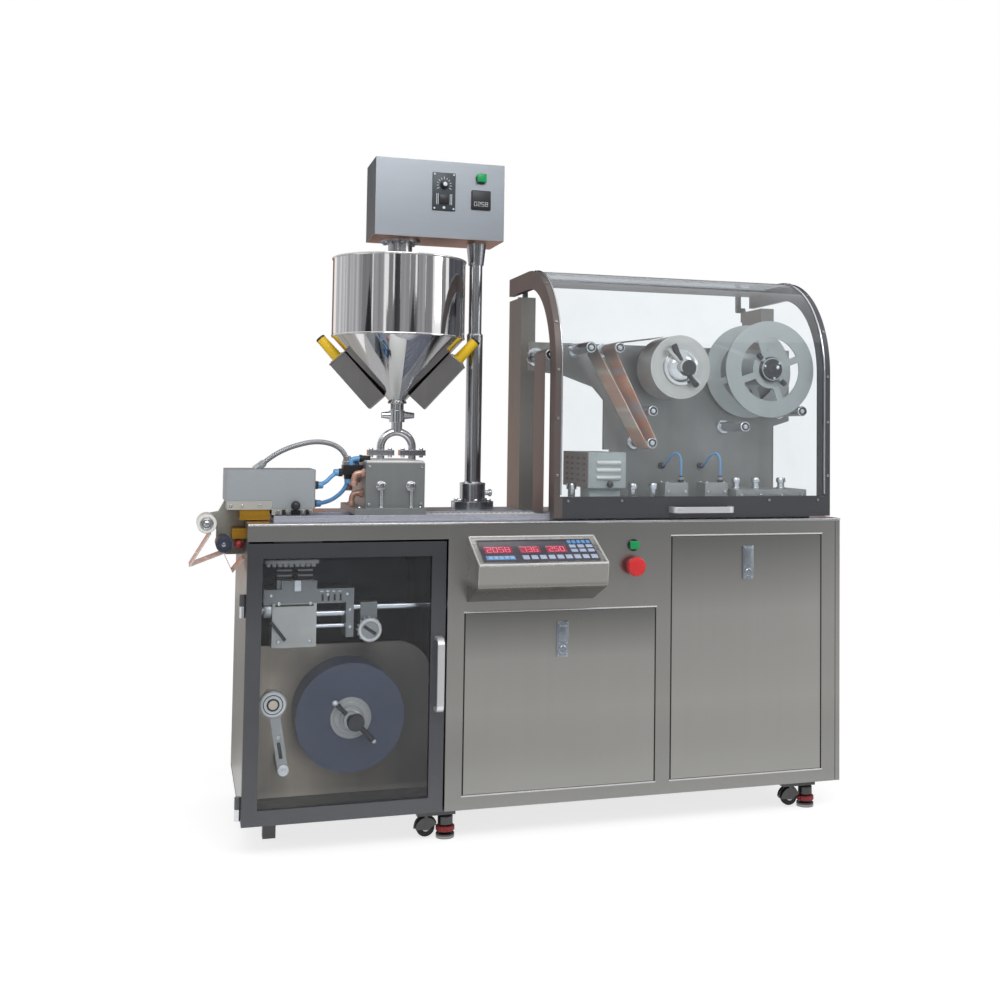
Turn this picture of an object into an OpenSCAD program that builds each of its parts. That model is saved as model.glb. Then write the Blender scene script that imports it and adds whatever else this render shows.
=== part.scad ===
// Blister packing machine: a stainless cabinet with a glazed film bay, a pill
// hopper on a tower, and a hinged clear hood over the sealing station.
// Millimetres. X runs along the machine, Y to the back, Z up from the floor.

/* [Cabinet] */
// Length of the cabinet and worktop
cab_l = 1500; // [1350:10:1650]
// Depth of the cabinet
cab_d = 560; // [540:10:700]
// Height of the cabinet from its underside to the worktop
cab_h = 675; // [600:5:760]
// Height of the feet
foot_h = 75; // [65:1:100]
// Thickness of the cabinet walls
shell_t = 10; // [6:1:14]
// Thickness of the front fascia
fascia_t = 12; // [10:1:16]
// Thickness of the worktop
top_t = 6; // [4:1:10]
// Height of the apron over the film bay
apron_h = 34; // [24:1:40]

/* [Lift-off panels] */
// Thickness of a lift-off panel
panel_t = 8; // [5:1:9]
// Gap round a lift-off panel
panel_gap = 2; // [1:0.5:4]
// Lip that a lift-off panel seats on
panel_lip = 14; // [8:1:20]
// Height of the panels' lower edge over the cabinet's underside
panel_rise = 35; // [28:1:45]
// Distance of the middle panel from the film bay
mid_inset = 43; // [30:1:50]
// Distance of the right panel from the cabinet's right end
right_inset = 56; // [40:1:70]
// Width of the fascia between the two panels
panel_between = 44; // [34:1:54]
// Share of the panels' width that the middle one takes
panel_split = 0.537; // [0.45:0.001:0.6]

/* [Film bay] */
// Width of the film bay
bay_w = 461; // [440:1:520]
// Thickness of the bay door
door_t = 20; // [16:1:26]
// Width of the bay door's stiles and rails
door_rail = 34; // [26:1:40]
// Thickness of the clear sheets
glass_t = 5; // [4:1:8]
// Clearance round moving pieces
run_gap = 5; // [5:0.5:8]
// Width of the film web
web_w = 105; // [90:1:110]

/* [Hood] */
// Length of the worktop left of the hood
tower_zone = 724; // [710:1:760]
// Height of the hood over the worktop
hood_h = 643; // [570:1:700]
// Radius of the hood's curved front as a share of its height
hood_round = 0.412; // [0.38:0.002:0.43]
// Thickness of the hood's end frames
hood_end_t = 15; // [10:1:18]
// Width of the hood's frame band
hood_band = 48; // [36:1:50]

/* [Tower] */
// Radius of the hopper
hopper_r = 170; // [140:1:180]
// Height of the hopper's cylinder
hopper_h = 201; // [160:1:220]
// Height of the hopper's cone
cone_h = 168; // [150:1:190]
// Wall of the hopper
hopper_wall = 3; // [2:0.5:5]
// Radius of the tower post
post_r = 21; // [18:1:24]
// Width of the drive box
box_w = 335; // [300:1:380]
// Depth of the drive box
box_d = 154; // [130:1:180]
// Height of the drive box
box_h = 199; // [160:1:240]

/* [Console] */
// Width of the control console
console_w = 315; // [280:1:340]
// Depth of the control console
console_d = 120; // [100:1:140]

/* [Hidden] */
$fn = 64;

// Levels
z_bot = foot_h;
z_top = foot_h + cab_h;
z_under = z_top - top_t;
z_floor = z_bot + shell_t;
// Small gap between a pin and its bore, and how far a cut runs past a face
seat = 0.3;
cut = 1;

// The film loop's reach past the left end, and the middle of the machine
film_reach = 125;
mid_x = (cab_l - film_reach) / 2;
mid_y = (cab_d - console_d) / 2;

// Panels in the fascia
panels_w = cab_l - bay_w - mid_inset - right_inset - panel_between;
mid_w = panels_w * panel_split;
right_w = panels_w - mid_w;
mid_x0 = bay_w + mid_inset;
right_x0 = cab_l - right_inset - right_w;
panel_z0 = z_bot + panel_rise;
mid_h = cab_h * 0.627;
right_h = cab_h - 77;
latch_w = 28;
latch_h = 84;
latch_t = 5;
latch_drop = 26;
paddle_in = 4;
paddle_h = 38;
paddle_t = 3;
lock_r = 9;
lock_rise = 18;

// Feet
caster_x = [bay_w + 14, cab_l - 70];
caster_y = [56, cab_d - 56];
pad_r = 22;
pad_h = 10;
stem_r = 7;
dial_r = 21;
dial_z = 16;
dial_h = 12;
caster_top = 20;
wheel_r = 22;
wheel_w = 20;
wheel_x = -48;
wheel_z = 27;
cheek_t = 4;
leg_w = 30;
leg_x = 58;
leg_y = [150, cab_d - 130];

// Console profile, from the back top corner round to the back bottom corner
console_x0 = mid_x0 + 3;
console_top = z_top - 36;
console_lip = 56;
console_front_h = 52;
console_nose = 8;
console_base = 153;
key_margin = 16;
key_t = 4;
key_slope = atan(console_lip / console_d);
key_run = console_d / cos(key_slope);

// Push buttons on the fascia
button_x = (console_x0 + console_w + right_x0) / 2;
start_z = z_top - 61;
start_r = 15;
start_rim = 4;
start_out = 12;
stop_z = z_top - 112;
stop_r = 24;
stop_neck_r = 14;
stop_neck = 22;
stop_out = 34;

// Bay door
door_x1 = bay_w - run_gap;
door_top = z_under - apron_h - run_gap;
door_back = door_t + run_gap;
hinge_x = -8;
hinge_y = door_t / 2;
pin_r = 4;
knuckle_r = 7;
knuckle_h = 26;
leaf_t = 6;
hinge_reach = 55;
hinge_z = [z_bot + 40, door_top - 140];
handle_z = [z_bot + 0.351 * cab_h, z_bot + 0.606 * cab_h];
handle_x = door_x1 - door_rail / 2;
handle_w = 16;
handle_t = 8;
handle_out = 43;
handle_bend = 20;

// Film web's place across the machine
web_y = 120;
web_y0 = web_y - web_w / 2;
web_y1 = web_y + web_w / 2;

// Mount plate in the bay, film roll and dancer, set out by the cabinet's height
bay_unit = cab_h / 100;
mount_y = 185;
mount_t = 10;
mount_h = 53.3 * bay_unit;
mount_round = 90;
roll_r = 18.8 * bay_unit;
roll_x = 247;
roll_z = z_bot + 31.9 * bay_unit;
chuck_r = 38;
spindle_r = 12;
spindle_out = 20;
chuck_ring_r = 48;
chuck_ring_t = 6;
knob_r = 17;
knob_len = 40;
knob_wall = 19;
lever_r = 6;
lever_len = 62;
dancer_x = 67;
dancer_z = z_bot + 38.4 * bay_unit;
dancer_dx = 26;
dancer_dz = -22.3 * bay_unit;
dancer_ring_r = 31;
dancer_ring_t = 20;
dancer_arm_w = 24;
dancer_arm_t = 12;
dancer_arm_in = 2;
dancer_y = 44;
dancer_roll_r = 14;
dancer_pin_r = 10;
dancer_pin_out = 4;

// Indexing mechanism under the worktop
index_y0 = 85;
index_y1 = 170;
index_step = 10;
index_x0 = 63;
index_x1 = 165;
index_out = 20;
index_plate_x1 = 252;
index_plate_z = z_top - 23.6 * bay_unit;
index_plate_t = 5 * bay_unit;
index_block_h = 15 * bay_unit;
index_end_w = 18;
index_end_rise = 20;
index_cap_h = 3 * bay_unit;
index_column_w = 34;
index_shelf_z = z_top - 9 * bay_unit;
index_shelf_t = 2.4 * bay_unit;
index_rod_y = 110;
index_rod_z = [z_top - 32.6 * bay_unit, z_top - 37 * bay_unit];
index_rod_r = [7, 5];
cross_rod_y = 125;
cross_rod_z = z_top - 31 * bay_unit;
cross_rod_r = 8;
dial_x = 292;
dial_cz = z_top - 38.7 * bay_unit;
dial_ring_r = 28;
dial_y = [93, 115];
dial_block = [20, 30];
dial_block_rise = 12;

// Heater at the left end
heat_y0 = 85;
heat_y1 = 235;
heat_x0 = -50;
heat_x1 = 157;
heat_split = 57;
heat_z = z_top + 47;
heat_h = 73;
heat_drop = 19;
heat_shelf = heat_z - heat_drop - 1;
heat_edge = 5;
heat_round = 9;
base_x1 = 150;
plate_y1 = 178;
plate_y2 = plate_y1 + 2;
casting_t = 20;
casting_low = z_top - 84;
casting_x = [-42, -64, -60];
casting_round = 18;
casting_nose = 16;
brass_x0 = -15;
brass_x1 = 52;
brass_in = 4;
brass_z0 = z_top + 3;
low_brass_x0 = -31;
low_brass_z = z_top - 40;
low_brass_h = 23;
infeed_x = -88;
infeed_z = z_top - 5;
infeed_r = 22;
tension_x = -49;
tension_z = z_top - 53;
tension_r = 18;
axle_r = 6;
film_t = 1.5;
loop_drop = 100;
loop_lead = [6, 4];
loop_fold = [4, 1.2];
tail_tip = [-29, -116];
tail_end = [-3, -84];

// Track along the worktop
track_x0 = 60;
track_x1 = cab_l - 60;
track_margin = 12.5;
track_y0 = web_y0 - track_margin;
track_y1 = web_y1 + track_margin;
track_base_t = 6;
track_h = 14;
rail_w = 10;
track_top = z_top + track_h;

// Feeder and hopper
hopper_x = 380;
tower_y = cab_d / 2 + 10;
feeder_x0 = 274;
feeder_x1 = 416;
feeder_y0 = 80;
feeder_y1 = tower_y + 50;
feeder_front = 20;
feeder_left = 27;
feeder_base_h = 15;
feeder_h = 108;
feeder_z = track_top + feeder_base_h;
feeder_top = feeder_z + feeder_h;
tap_x = [feeder_x0 + 36, feeder_x1 - 34];
tap_r = 8;
tap_len = 14;
tap_z = 53;
tap_rod_r = 3;
tap_rod_out = 10;
tap_rod_h = 60;
pipe_r = 10;
bend_r = 40.5;
leg_h = 34;
clamp_half = 33;
clamp_side = 16;
clamp_z = [14, 28];
pipe_top = feeder_top + leg_h + bend_r + pipe_r;
neck_r = 17;
valve_h = 65;
valve_z = [15, 45];
valve_r = [14, 20];
valve_wing_r = [13, 7];
valve_wing = [40, 44];
bead_r = 2.6;
cone_z = pipe_top + valve_h;
hopper_z = cone_z + cone_h;
hopper_top = hopper_z + hopper_h;
cone_angle = atan2(cone_h, hopper_r - neck_r);
slope_l = norm([cone_h, hopper_r - neck_r]);
side_box_at = 0.105 * slope_l;
side_box_l = 0.66 * slope_l;
side_box_t = 50;
side_box_w = 60;
box_turn = 14;
grip_l = 70;
grip_r = [13, 11];

// Tower
post_x = hopper_x + hopper_r + 32;
flange_r = 55;
flange_t = 19;
bed_x0 = feeder_x0 - feeder_left;
bed_x1 = post_x + flange_r + 53;
bed_y1 = feeder_y1 + 10;
bed_gap = 5;
clamp_r = 33;
clamp_h = 43;
clamp_screw = [6, 14];
box_gap = 53;
box_z = hopper_top + box_gap;
box_x0 = hopper_x - 78;
box_y0 = tower_y - box_d / 2;
upper_r = post_r - 4;
lower_h = 434;
collar_r = [20, 26];
collar_h = 56;
tube_r = 31;
tube_flange_r = 52;
tube_flange_t = 8;
tube_dip = 60;
speed_x = [0.433 * box_w, 0.612 * box_w];
speed_z = [0.357 * box_h, 0.85 * box_h];
speed_knob_r = 13;
speed_knob_out = 18;
counter_x = [0.737 * box_w, 0.89 * box_w];
counter_z = [0.397 * box_h, 0.648 * box_h];
plate_out = 4;
lamp_r = 13;
lamp_out = 12;
lamp_z = 0.814 * box_h;

// Hood
hood_x0 = tower_zone;
hood_x1 = cab_l - 20;
hood_l = hood_x1 - hood_x0;
hood_y0 = 16;
hood_z0 = z_top + run_gap;
hood_z1 = z_top + hood_h;
hood_r = hood_h * hood_round;
hood_back = cab_d - 76;
arc_y = hood_y0 + hood_r;
arc_z = hood_z1 - hood_r;
bar_h = 52;
bar_t = 22;
rail_t = 12;
rail_y0 = arc_y + 90;
window_in = 1;
post_w = 40;
post_y0 = cab_d - 210;
post_y1 = cab_d - 80;
slot_h = 14;
post_top = hood_z1 - hood_band - slot_h;
pivot_y = post_y1 + 10;
pivot_z = post_top + slot_h / 2;
lug_r = 8;
lug_w = 12;
lug_gap = 2;
ear_h = 30;
hood_pin_r = 5;
grip_bar_w = 15;
grip_bar_t = 8;
grip_bar_bend = 18;
grip_bar_l = 168;
grip_bar_shift = 8;
grip_bar_out = 37;
grip_bar_z = 20;

// Reel plate, reels and rollers under the hood, set out by the hood's size
reel_unit = min(hood_l / 756, hood_h / 643);
reel_y = 215;
reel_t = 10;
reel_top = z_top + 0.7 * hood_h;
reel_x0 = hood_x0 - 14;
reel_x1 = hood_x1 - hood_end_t - run_gap;
stem_x = [hood_x0 + 0.255 * hood_l, hood_x0 + 0.905 * hood_l];
wing_z = [z_top + 0.37 * hood_h, z_top + 0.395 * hood_h];
arm_x = [reel_x0 + 90, stem_x[0] - 30];
arm_z = [z_top + 0.585 * hood_h, z_top + 0.57 * hood_h, z_top + 0.523 * hood_h, z_top + 0.47 * hood_h];
foil_c = [hood_x0 + 0.464 * hood_l, z_top + 0.602 * hood_h];
foil_r = 82 * reel_unit;
waste_c = [hood_x0 + 0.802 * hood_l, z_top + 0.603 * hood_h];
waste_r = 127 * reel_unit;
waste_y0 = 68;
waste_y1 = 205;
waste_t = 4;
waste_core_r = 38;
waste_ring = 0.66 * waste_r;
waste_hub = 50;
spoke_turn = 20;
spoke_half = 9;
hub_cap_r = 30;
hub_cap_t = 14;
hub_skin = 6;
hub_lever = 56;
idler_r = 13;
idler_y = web_y0 + 8;
idler_at = [[0.005, 0.638], [0.1455, 0.67], [0.2475, 0.673], [0.369, 0.4245], [0.3665, 0.297],
  [0.7115, 0.367], [0.931, 0.434]];
idlers = [for (p = idler_at) [hood_x0 + p[0] * hood_l, z_top + p[1] * hood_h]];
idler_flange_r = 24;
idler_flange_t = 5;

// Lidding foil's way from its roll over the rollers to the track
foil_t = 1.5;
foil_y0 = web_y0 + 9;
foil_rc = idler_r + seat + foil_t / 2;
foil_start = 34;
function toward(a, b) = atan2(b[1] - a[1], b[0] - a[0]);
function spot(c, r, a) = c + r * [cos(a), sin(a)];
function arc_points(c, a0, a1, n) = [for (k = [0:n]) spot(c, foil_rc, a0 + (a1 - a0) * k / n)];
function cross_lean(a, b) = acos(2 * foil_rc / norm(b - a));
roller_l = idlers[0];
roller_a = idlers[1];
roller_b = idlers[2];
roller_d = idlers[4];
turn_b0 = toward(roller_b, foil_c) + acos((foil_rc - foil_r) / norm(foil_c - roller_b));
turn_b1 = toward(roller_b, roller_d) - cross_lean(roller_b, roller_d) + 360;
turn_d0 = turn_b1 - 180;
turn_d1 = toward(roller_d, roller_a) + cross_lean(roller_d, roller_a) - 360;
turn_a0 = turn_d1 + 180;
turn_a1 = toward(roller_a, roller_l) + 270;
foil_run = sqrt(pow(norm(foil_c - roller_b), 2) - pow(foil_r - foil_rc, 2)) - foil_start;
foil_path = concat([spot(roller_b, foil_rc, turn_b0) + foil_run * [sin(turn_b0), -cos(turn_b0)]],
  arc_points(roller_b, turn_b0, turn_b1, 7), arc_points(roller_d, turn_d0, turn_d1, 10),
  arc_points(roller_a, turn_a0, turn_a1, 5), arc_points(roller_l, turn_a1 + 8, 180, 5),
  [[roller_l[0] - foil_rc, track_top]]);

// Sealing station
seal_x0 = hood_x0 + 60;
seal_back = 5;
seal_h = 31;
seal_z = track_top + seal_h;
cyl_at = 322;
cyl_w = 64;
cyl_y = [95, 150];
cyl_h = 43;
punch_x0 = hood_x0 + 506;
punch_x1 = track_x1 - 7;
punch_h = 27;
punch_in = 5;
stud_x = [hood_x0 + 76, hood_x0 + 241, hood_x0 + 298];
stud_at = [0.133, 0.414, 0.778];
stud_y = 120;
stud_r = 9;
stud_h = 40;
punch_stud_h = 28;
louvre_x0 = hood_x0 + 104;
louvre_w = 102;
louvre_y0 = 75;
louvre_y1 = 285;
louvre_z = [z_top + 76, z_top + 166];
louvre_foot = [10, 15, 90];
vent_z = [22, 41, 60];
vent_x = [24, 86];
vent_r = 4;
vent_slot_y = [35, 85, 135, 180];
vent_slot_z = [16, 30, 44, 58, 72];
vent_slot = [2, 30, 4];
notch_x = louvre_x0 + louvre_w + run_gap;
notch_z = louvre_z[1] + run_gap;

// Hoses: points chosen by hand, from the worktop's left front corner
hose_d = 12;
hose_route = [[40, 150, 134], [52, 150, 144], [66, 150, 154], [82, 150, 163], [100, 150, 171],
  [118, 150, 177], [137, 150, 182], [156, 150, 185], [175, 150, 185], [193, 150, 182], [209, 150, 176],
  [222, 150, 167], [231, 150, 155], [236, 150, 143], [237, 150, 136]];
blue_d = 10;
blue_route = [[162, 170, 36], [172, 170, 36], [183, 169, 38], [194, 168, 41], [205, 166, 46], [215, 163, 53],
  [224, 160, 61], [231, 157, 70], [236, 153, 80], [239, 151, 90], [240, 150, 100]];
short_route = [[160, 130, 82], [170, 130, 83], [180, 131, 87], [189, 133, 93], [197, 136, 101],
  [205, 139, 107], [213, 141, 111], [222, 142, 112]];
gland_r = 9;
gland_l = 26;
gland_lean = atan2(hose_route[1][0] - hose_route[0][0], hose_route[1][2] - hose_route[0][2]);
port_r = 8;
manifold_x0 = 226;
manifold_y = [132, 168];
manifold_z = [z_top + 106, z_top + 130];

// Small tubes: points from the hood's left end, at the worktop's front corner
tube_d = 6;
tube_route = [[356, 200, 130], [356, 190, 131], [356, 180, 136], [357, 170, 143], [359, 161, 151],
  [362, 153, 158], [366, 146, 163], [371, 140, 164], [376, 135, 160], [379, 132, 152], [380, 130, 142],
  [380, 130, 130], [380, 130, 116], [380, 130, 102]];
tube_step = 112;
fitting_r = 7;

function unit(v) = v / norm(v);
function heading(p, i) = unit(p[min(i + 1, len(p) - 1)] - p[max(i - 1, 0)]);
function side_of(t, ref) = unit(ref - (ref * t) * t);
function ring(p, i, t, r, n, ref) = let (u = side_of(t, ref), v = cross(t, u))
  [for (k = [0:n - 1]) p[i] + r * (cos(360 * k / n) * u + sin(360 * k / n) * v)];

// A plain tube swept along a route; its ends are square to the given directions
module hose(p, d, first, last, ref = [0, 1, 0], n = 8) {
  m = len(p);
  way = [for (i = [0:m - 1]) i == 0 ? first : i == m - 1 ? last : heading(p, i)];
  points = [for (i = [0:m - 1]) each ring(p, i, way[i], d / 2, n, ref)];
  sides = [for (i = [0:m - 2]) for (k = [0:n - 1])
    [(i + 1) * n + k, (i + 1) * n + (k + 1) % n, i * n + (k + 1) % n, i * n + k]];
  polyhedron(points, concat(sides, [[for (k = [0:n - 1]) k]], [[for (k = [n - 1:-1:0]) (m - 1) * n + k]]));
}

// A thin strip of even thickness along a flat path
module strip(p, t) {
  side = [for (i = [0:len(p) - 1]) let (h = heading(p, i)) [-h[1], h[0]] * t / 2];
  polygon(concat([for (i = [0:len(p) - 1]) p[i] + side[i]], [for (i = [len(p) - 1:-1:0]) p[i] - side[i]]));
}

// A rectangle with round corners
module rounded(w, d, r) {
  translate([r, 0]) square([w - 2 * r, d]);
  translate([0, r]) square([w, d - 2 * r]);
  for (x = [r, w - r], y = [r, d - r]) translate([x, y]) circle(r = r);
}

// Everything is drawn from the cabinet's left front edge, then centred
module placed() { translate([-mid_x, -mid_y, 0]) children(); }

module block(x0, x1, y0, y1, z0, z1) { translate([x0, y0, z0]) cube([x1 - x0, y1 - y0, z1 - z0]); }

module rod_x(x0, x1, y, z, r) { translate([x0, y, z]) rotate([0, 90, 0]) cylinder(r = r, h = x1 - x0); }

module rod_y(x, y0, y1, z, r) { translate([x, y0, z]) rotate([-90, 0, 0]) cylinder(r = r, h = y1 - y0); }

module rod_z(x, y, z0, z1, r) { translate([x, y, z0]) cylinder(r = r, h = z1 - z0); }

// An outline in X and Z, drawn out along Y
module along_y(y0, y1) { translate([0, y1, 0]) rotate([90, 0, 0]) linear_extrude(y1 - y0) children(); }

// An outline in Y and Z, drawn out along X
module along_x(x0, x1) { translate([x0, 0, 0]) rotate([90, 0, 90]) linear_extrude(x1 - x0) children(); }

module worktop() placed() color("silver") {
  block(0, cab_l, 0, cab_d, z_under, z_top);
  rod_x(0, cab_l, 0, z_top - top_t / 2, top_t / 2);
}

module panel_opening(x0, w, h) {
  block(x0 - panel_gap, x0 + w + panel_gap, -cut, panel_t, panel_z0 - panel_gap, panel_z0 + h + panel_gap);
  block(x0 + panel_lip, x0 + w - panel_lip, -cut, fascia_t + cut, panel_z0 + panel_lip,
    panel_z0 + h - panel_lip);
}

module front_fascia() placed() color("silver") difference() {
  block(bay_w, cab_l, 0, fascia_t, z_bot, z_under);
  panel_opening(mid_x0, mid_w, mid_h);
  panel_opening(right_x0, right_w, right_h);
}

module bay_apron() placed() color("silver") block(0, bay_w, 0, fascia_t, z_under - apron_h, z_under);

module side_panels() placed() color("silver") {
  block(cab_l - shell_t, cab_l, fascia_t, cab_d - shell_t, z_floor, z_under);
  block(0, shell_t, door_back, cab_d - shell_t, z_floor, z_under);
}

module back_panel() placed() color("silver") block(0, cab_l, cab_d - shell_t, cab_d, z_bot, z_under);

module bottom_plate() placed() color("dimgray") {
  block(0, bay_w, door_back, cab_d - shell_t, z_bot, z_floor);
  block(bay_w, cab_l, fascia_t, cab_d - shell_t, z_bot, z_floor);
  for (y = leg_y) block(leg_x, leg_x + leg_w, y, y + leg_w, 0, z_bot);
}

module partition_wall() placed() color("silver") {
  block(bay_w, bay_w + shell_t, fascia_t, cab_d - shell_t, z_floor, z_under);
}

module lift_panel(x0, w, h) {
  block(x0, x0 + w, 0, panel_t, panel_z0, panel_z0 + h);
  lx = x0 + w / 2 - latch_w / 2;
  lz = panel_z0 + h - latch_drop - latch_h;
  lock_x = lx + latch_w / 2;
  paddle_top = lz + latch_h - 2 * paddle_in;
  block(lx, lx + latch_w, -latch_t, 0, lz, lz + latch_h);
  block(lx + paddle_in, lx + latch_w - paddle_in, -latch_t - paddle_t, -latch_t, paddle_top - paddle_h,
    paddle_top);
  rod_y(lock_x, -latch_t - paddle_t, -latch_t, lz + lock_rise, lock_r);
}

module middle_panel() placed() color("silver") lift_panel(mid_x0, mid_w, mid_h);

module right_panel() placed() color("silver") lift_panel(right_x0, right_w, right_h);

module each_caster() { for (x = caster_x, y = caster_y) translate([x, y, 0]) children(); }

module caster_bodies() placed() color("gray") each_caster() {
  cylinder(r = pad_r, h = pad_h);
  cylinder(r = stem_r, h = foot_h);
  translate([0, 0, dial_z]) cylinder(r = dial_r, h = dial_h);
  half = wheel_w / 2 + cheek_t;
  block(wheel_x - wheel_r, pad_r, -half, half, foot_h - caster_top, foot_h);
  for (y = [-half, half - cheek_t])
    block(wheel_x - cheek_t, wheel_x + cheek_t, y, y + cheek_t, wheel_z - cheek_t, foot_h);
}

module caster_wheels() placed() color("black") each_caster() {
  rod_y(wheel_x, cut - wheel_w / 2, wheel_w / 2 - cut, wheel_z, wheel_r);
  rod_y(wheel_x, -wheel_w / 2, wheel_w / 2, wheel_z, cheek_t);
}

module console_outline() {
  polygon([[0, console_top], [-console_d, console_top - console_lip],
    [-console_d + console_nose, console_top - console_lip - console_front_h],
    [0, console_top - console_base]]);
}

// The keypad's place on the console's sloping face
module keypad_plate() {
  translate([console_x0, 0, console_top]) rotate([key_slope, 0, 0])
    translate([key_margin, key_margin - key_run, -key_t])
    cube([console_w - 2 * key_margin, key_run - 2 * key_margin, key_t]);
}

module console_housing() placed() color("silver") difference() {
  along_x(console_x0, console_x0 + console_w) console_outline();
  keypad_plate();
}

module console_keypad() placed() color("midnightblue") keypad_plate();

module start_button() placed() color("green") {
  rod_y(button_x, -start_rim, 0, start_z, start_r);
  rod_y(button_x, -start_out, -start_rim, start_z, start_r - start_rim);
}

module stop_button() placed() color("red") {
  rod_y(button_x, -stop_neck, 0, stop_z, stop_neck_r);
  rod_y(button_x, -stop_out, -stop_neck, stop_z, stop_r);
}

module door_frame() placed() color("dimgray") {
  difference() {
    block(0, door_x1, 0, door_t, z_bot, door_top);
    block(door_rail, door_x1 - door_rail, -cut, door_t + cut, z_bot + door_rail, door_top - door_rail);
  }
  for (z = hinge_z) difference() {
    union() {
      rod_z(hinge_x, hinge_y, z, z + knuckle_h, knuckle_r);
      block(hinge_x, cut, hinge_y - leaf_t / 2, hinge_y + leaf_t / 2, z, z + knuckle_h);
    }
    rod_z(hinge_x, hinge_y, z - cut, z + knuckle_h + cut, pin_r + seat);
  }
}

module door_window() placed() color("lightblue", 0.4) {
  y0 = (door_t - glass_t) / 2;
  block(door_rail, door_x1 - door_rail, y0, y0 + glass_t, z_bot + door_rail, door_top - door_rail);
}

// A bar bent to a bow: its length, how far it stands out, its thickness and its bend
module bow_outside(l, out, r) {
  square([l, out - r]);
  translate([r, 0]) square([l - 2 * r, out]);
  for (x = [r, l - r]) translate([x, out - r]) circle(r = r);
}

module bow(l, out, t, r) difference() {
  bow_outside(l, out, r);
  translate([t, -cut]) bow_outside(l - 2 * t, out - t + cut, r - t);
}

module door_handle() placed() color("silver") along_x(handle_x - handle_w / 2, handle_x + handle_w / 2)
  translate([0, handle_z[0]]) rotate(90) bow(handle_z[1] - handle_z[0], handle_out, handle_t, handle_bend);

module door_hinges() placed() color("silver") for (z = hinge_z) {
  rod_z(hinge_x, hinge_y, z - knuckle_h, z - seat, knuckle_r);
  rod_z(hinge_x, hinge_y, z - seat, z + knuckle_h, pin_r);
  block(hinge_x - leaf_t / 2, 0, hinge_y, hinge_reach, z - knuckle_h, z - seat);
}

module bay_mount_plate() placed() color("tan") {
  along_y(mount_y, mount_y + mount_t) difference() {
    translate([shell_t, z_floor]) square([bay_w - shell_t, mount_h]);
    translate([bay_w - mount_round, z_floor + mount_h - mount_round]) difference() {
      square(mount_round + cut);
      circle(r = mount_round);
    }
  }
  rod_y(roll_x, web_y0 - spindle_out, mount_y, roll_z, spindle_r);
  rod_y(dancer_x, dancer_y - dancer_pin_out, mount_y, dancer_z, dancer_pin_r);
}

module film_roll() placed() color("slateblue") difference() {
  rod_y(roll_x, web_y0, web_y1, roll_z, roll_r);
  rod_y(roll_x, web_y0 - cut, web_y1 + cut, roll_z, chuck_r + seat);
}

// A chuck: core, front ring, hand knob and clamping lever, round a spindle
module chuck(x, z, y_front, y_back, core_r) {
  difference() {
    union() {
      rod_y(x, y_front, y_back, z, core_r);
      rod_y(x, y_front - chuck_ring_t, y_front, z, chuck_ring_r);
      rod_y(x, y_front - knob_len, y_front, z, knob_r);
      translate([x, y_front - knob_len / 2, z]) rotate([0, 45, 0])
        rod_x(-lever_len, lever_len, 0, 0, lever_r);
    }
    rod_y(x, y_front - knob_len + knob_wall, y_back + cut, z, spindle_r + seat);
  }
}

module film_chuck() placed() color("gray") chuck(roll_x, roll_z, web_y0, web_y1, chuck_r);

module dancer_arm() placed() color("gray") difference() {
  union() {
    rod_y(dancer_x, dancer_y, dancer_y + dancer_ring_t, dancer_z, dancer_ring_r);
    along_y(dancer_y + dancer_arm_in, dancer_y + dancer_arm_in + dancer_arm_t) translate([dancer_x, dancer_z])
      rotate(atan2(dancer_dz, dancer_dx)) translate([0, -dancer_arm_w / 2])
      square([norm([dancer_dx, dancer_dz]), dancer_arm_w]);
    rod_y(dancer_x + dancer_dx, dancer_y, web_y1, dancer_z + dancer_dz, dancer_roll_r);
  }
  rod_y(dancer_x, dancer_y - cut, dancer_y + dancer_ring_t + cut, dancer_z, dancer_pin_r + seat);
}

module index_mechanism() placed() color("lightgray") {
  plate_low = index_plate_z - index_plate_t;
  block_low = plate_low - index_block_h;
  for (x = [index_x0 + index_step, index_x1 - index_step - index_column_w])
    block(x, x + index_column_w, index_y0 + index_step, index_y1 - index_step, index_plate_z, z_under);
  block(index_x0, index_x1 + index_step, index_y0, index_y1, index_shelf_z, index_shelf_z + index_shelf_t);
  block(index_x0 + index_out, index_x1, index_y0, index_y1, index_plate_z, index_plate_z + index_cap_h);
  block(index_x0 - index_out, index_plate_x1, index_y0, index_y1, plate_low, index_plate_z);
  block(index_x0, index_x1, index_y0, index_y1 - index_step, block_low, plate_low);
  block(index_plate_x1 - index_end_w, index_plate_x1, index_y0, index_y1, block_low + index_end_rise,
    plate_low);
  for (k = [0, 1]) rod_x(index_x1, index_plate_x1 - index_end_w, index_rod_y, index_rod_z[k], index_rod_r[k]);
  rod_x(index_plate_x1, bay_w, cross_rod_y, cross_rod_z, cross_rod_r);
  block(dial_x - dial_block[0], dial_x + dial_block[0], dial_y[1], dial_y[1] + dial_block[1], dial_cz,
    cross_rod_z + dial_block_rise);
  rod_y(dial_x, dial_y[0], dial_y[1], dial_cz, dial_ring_r);
}

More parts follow.
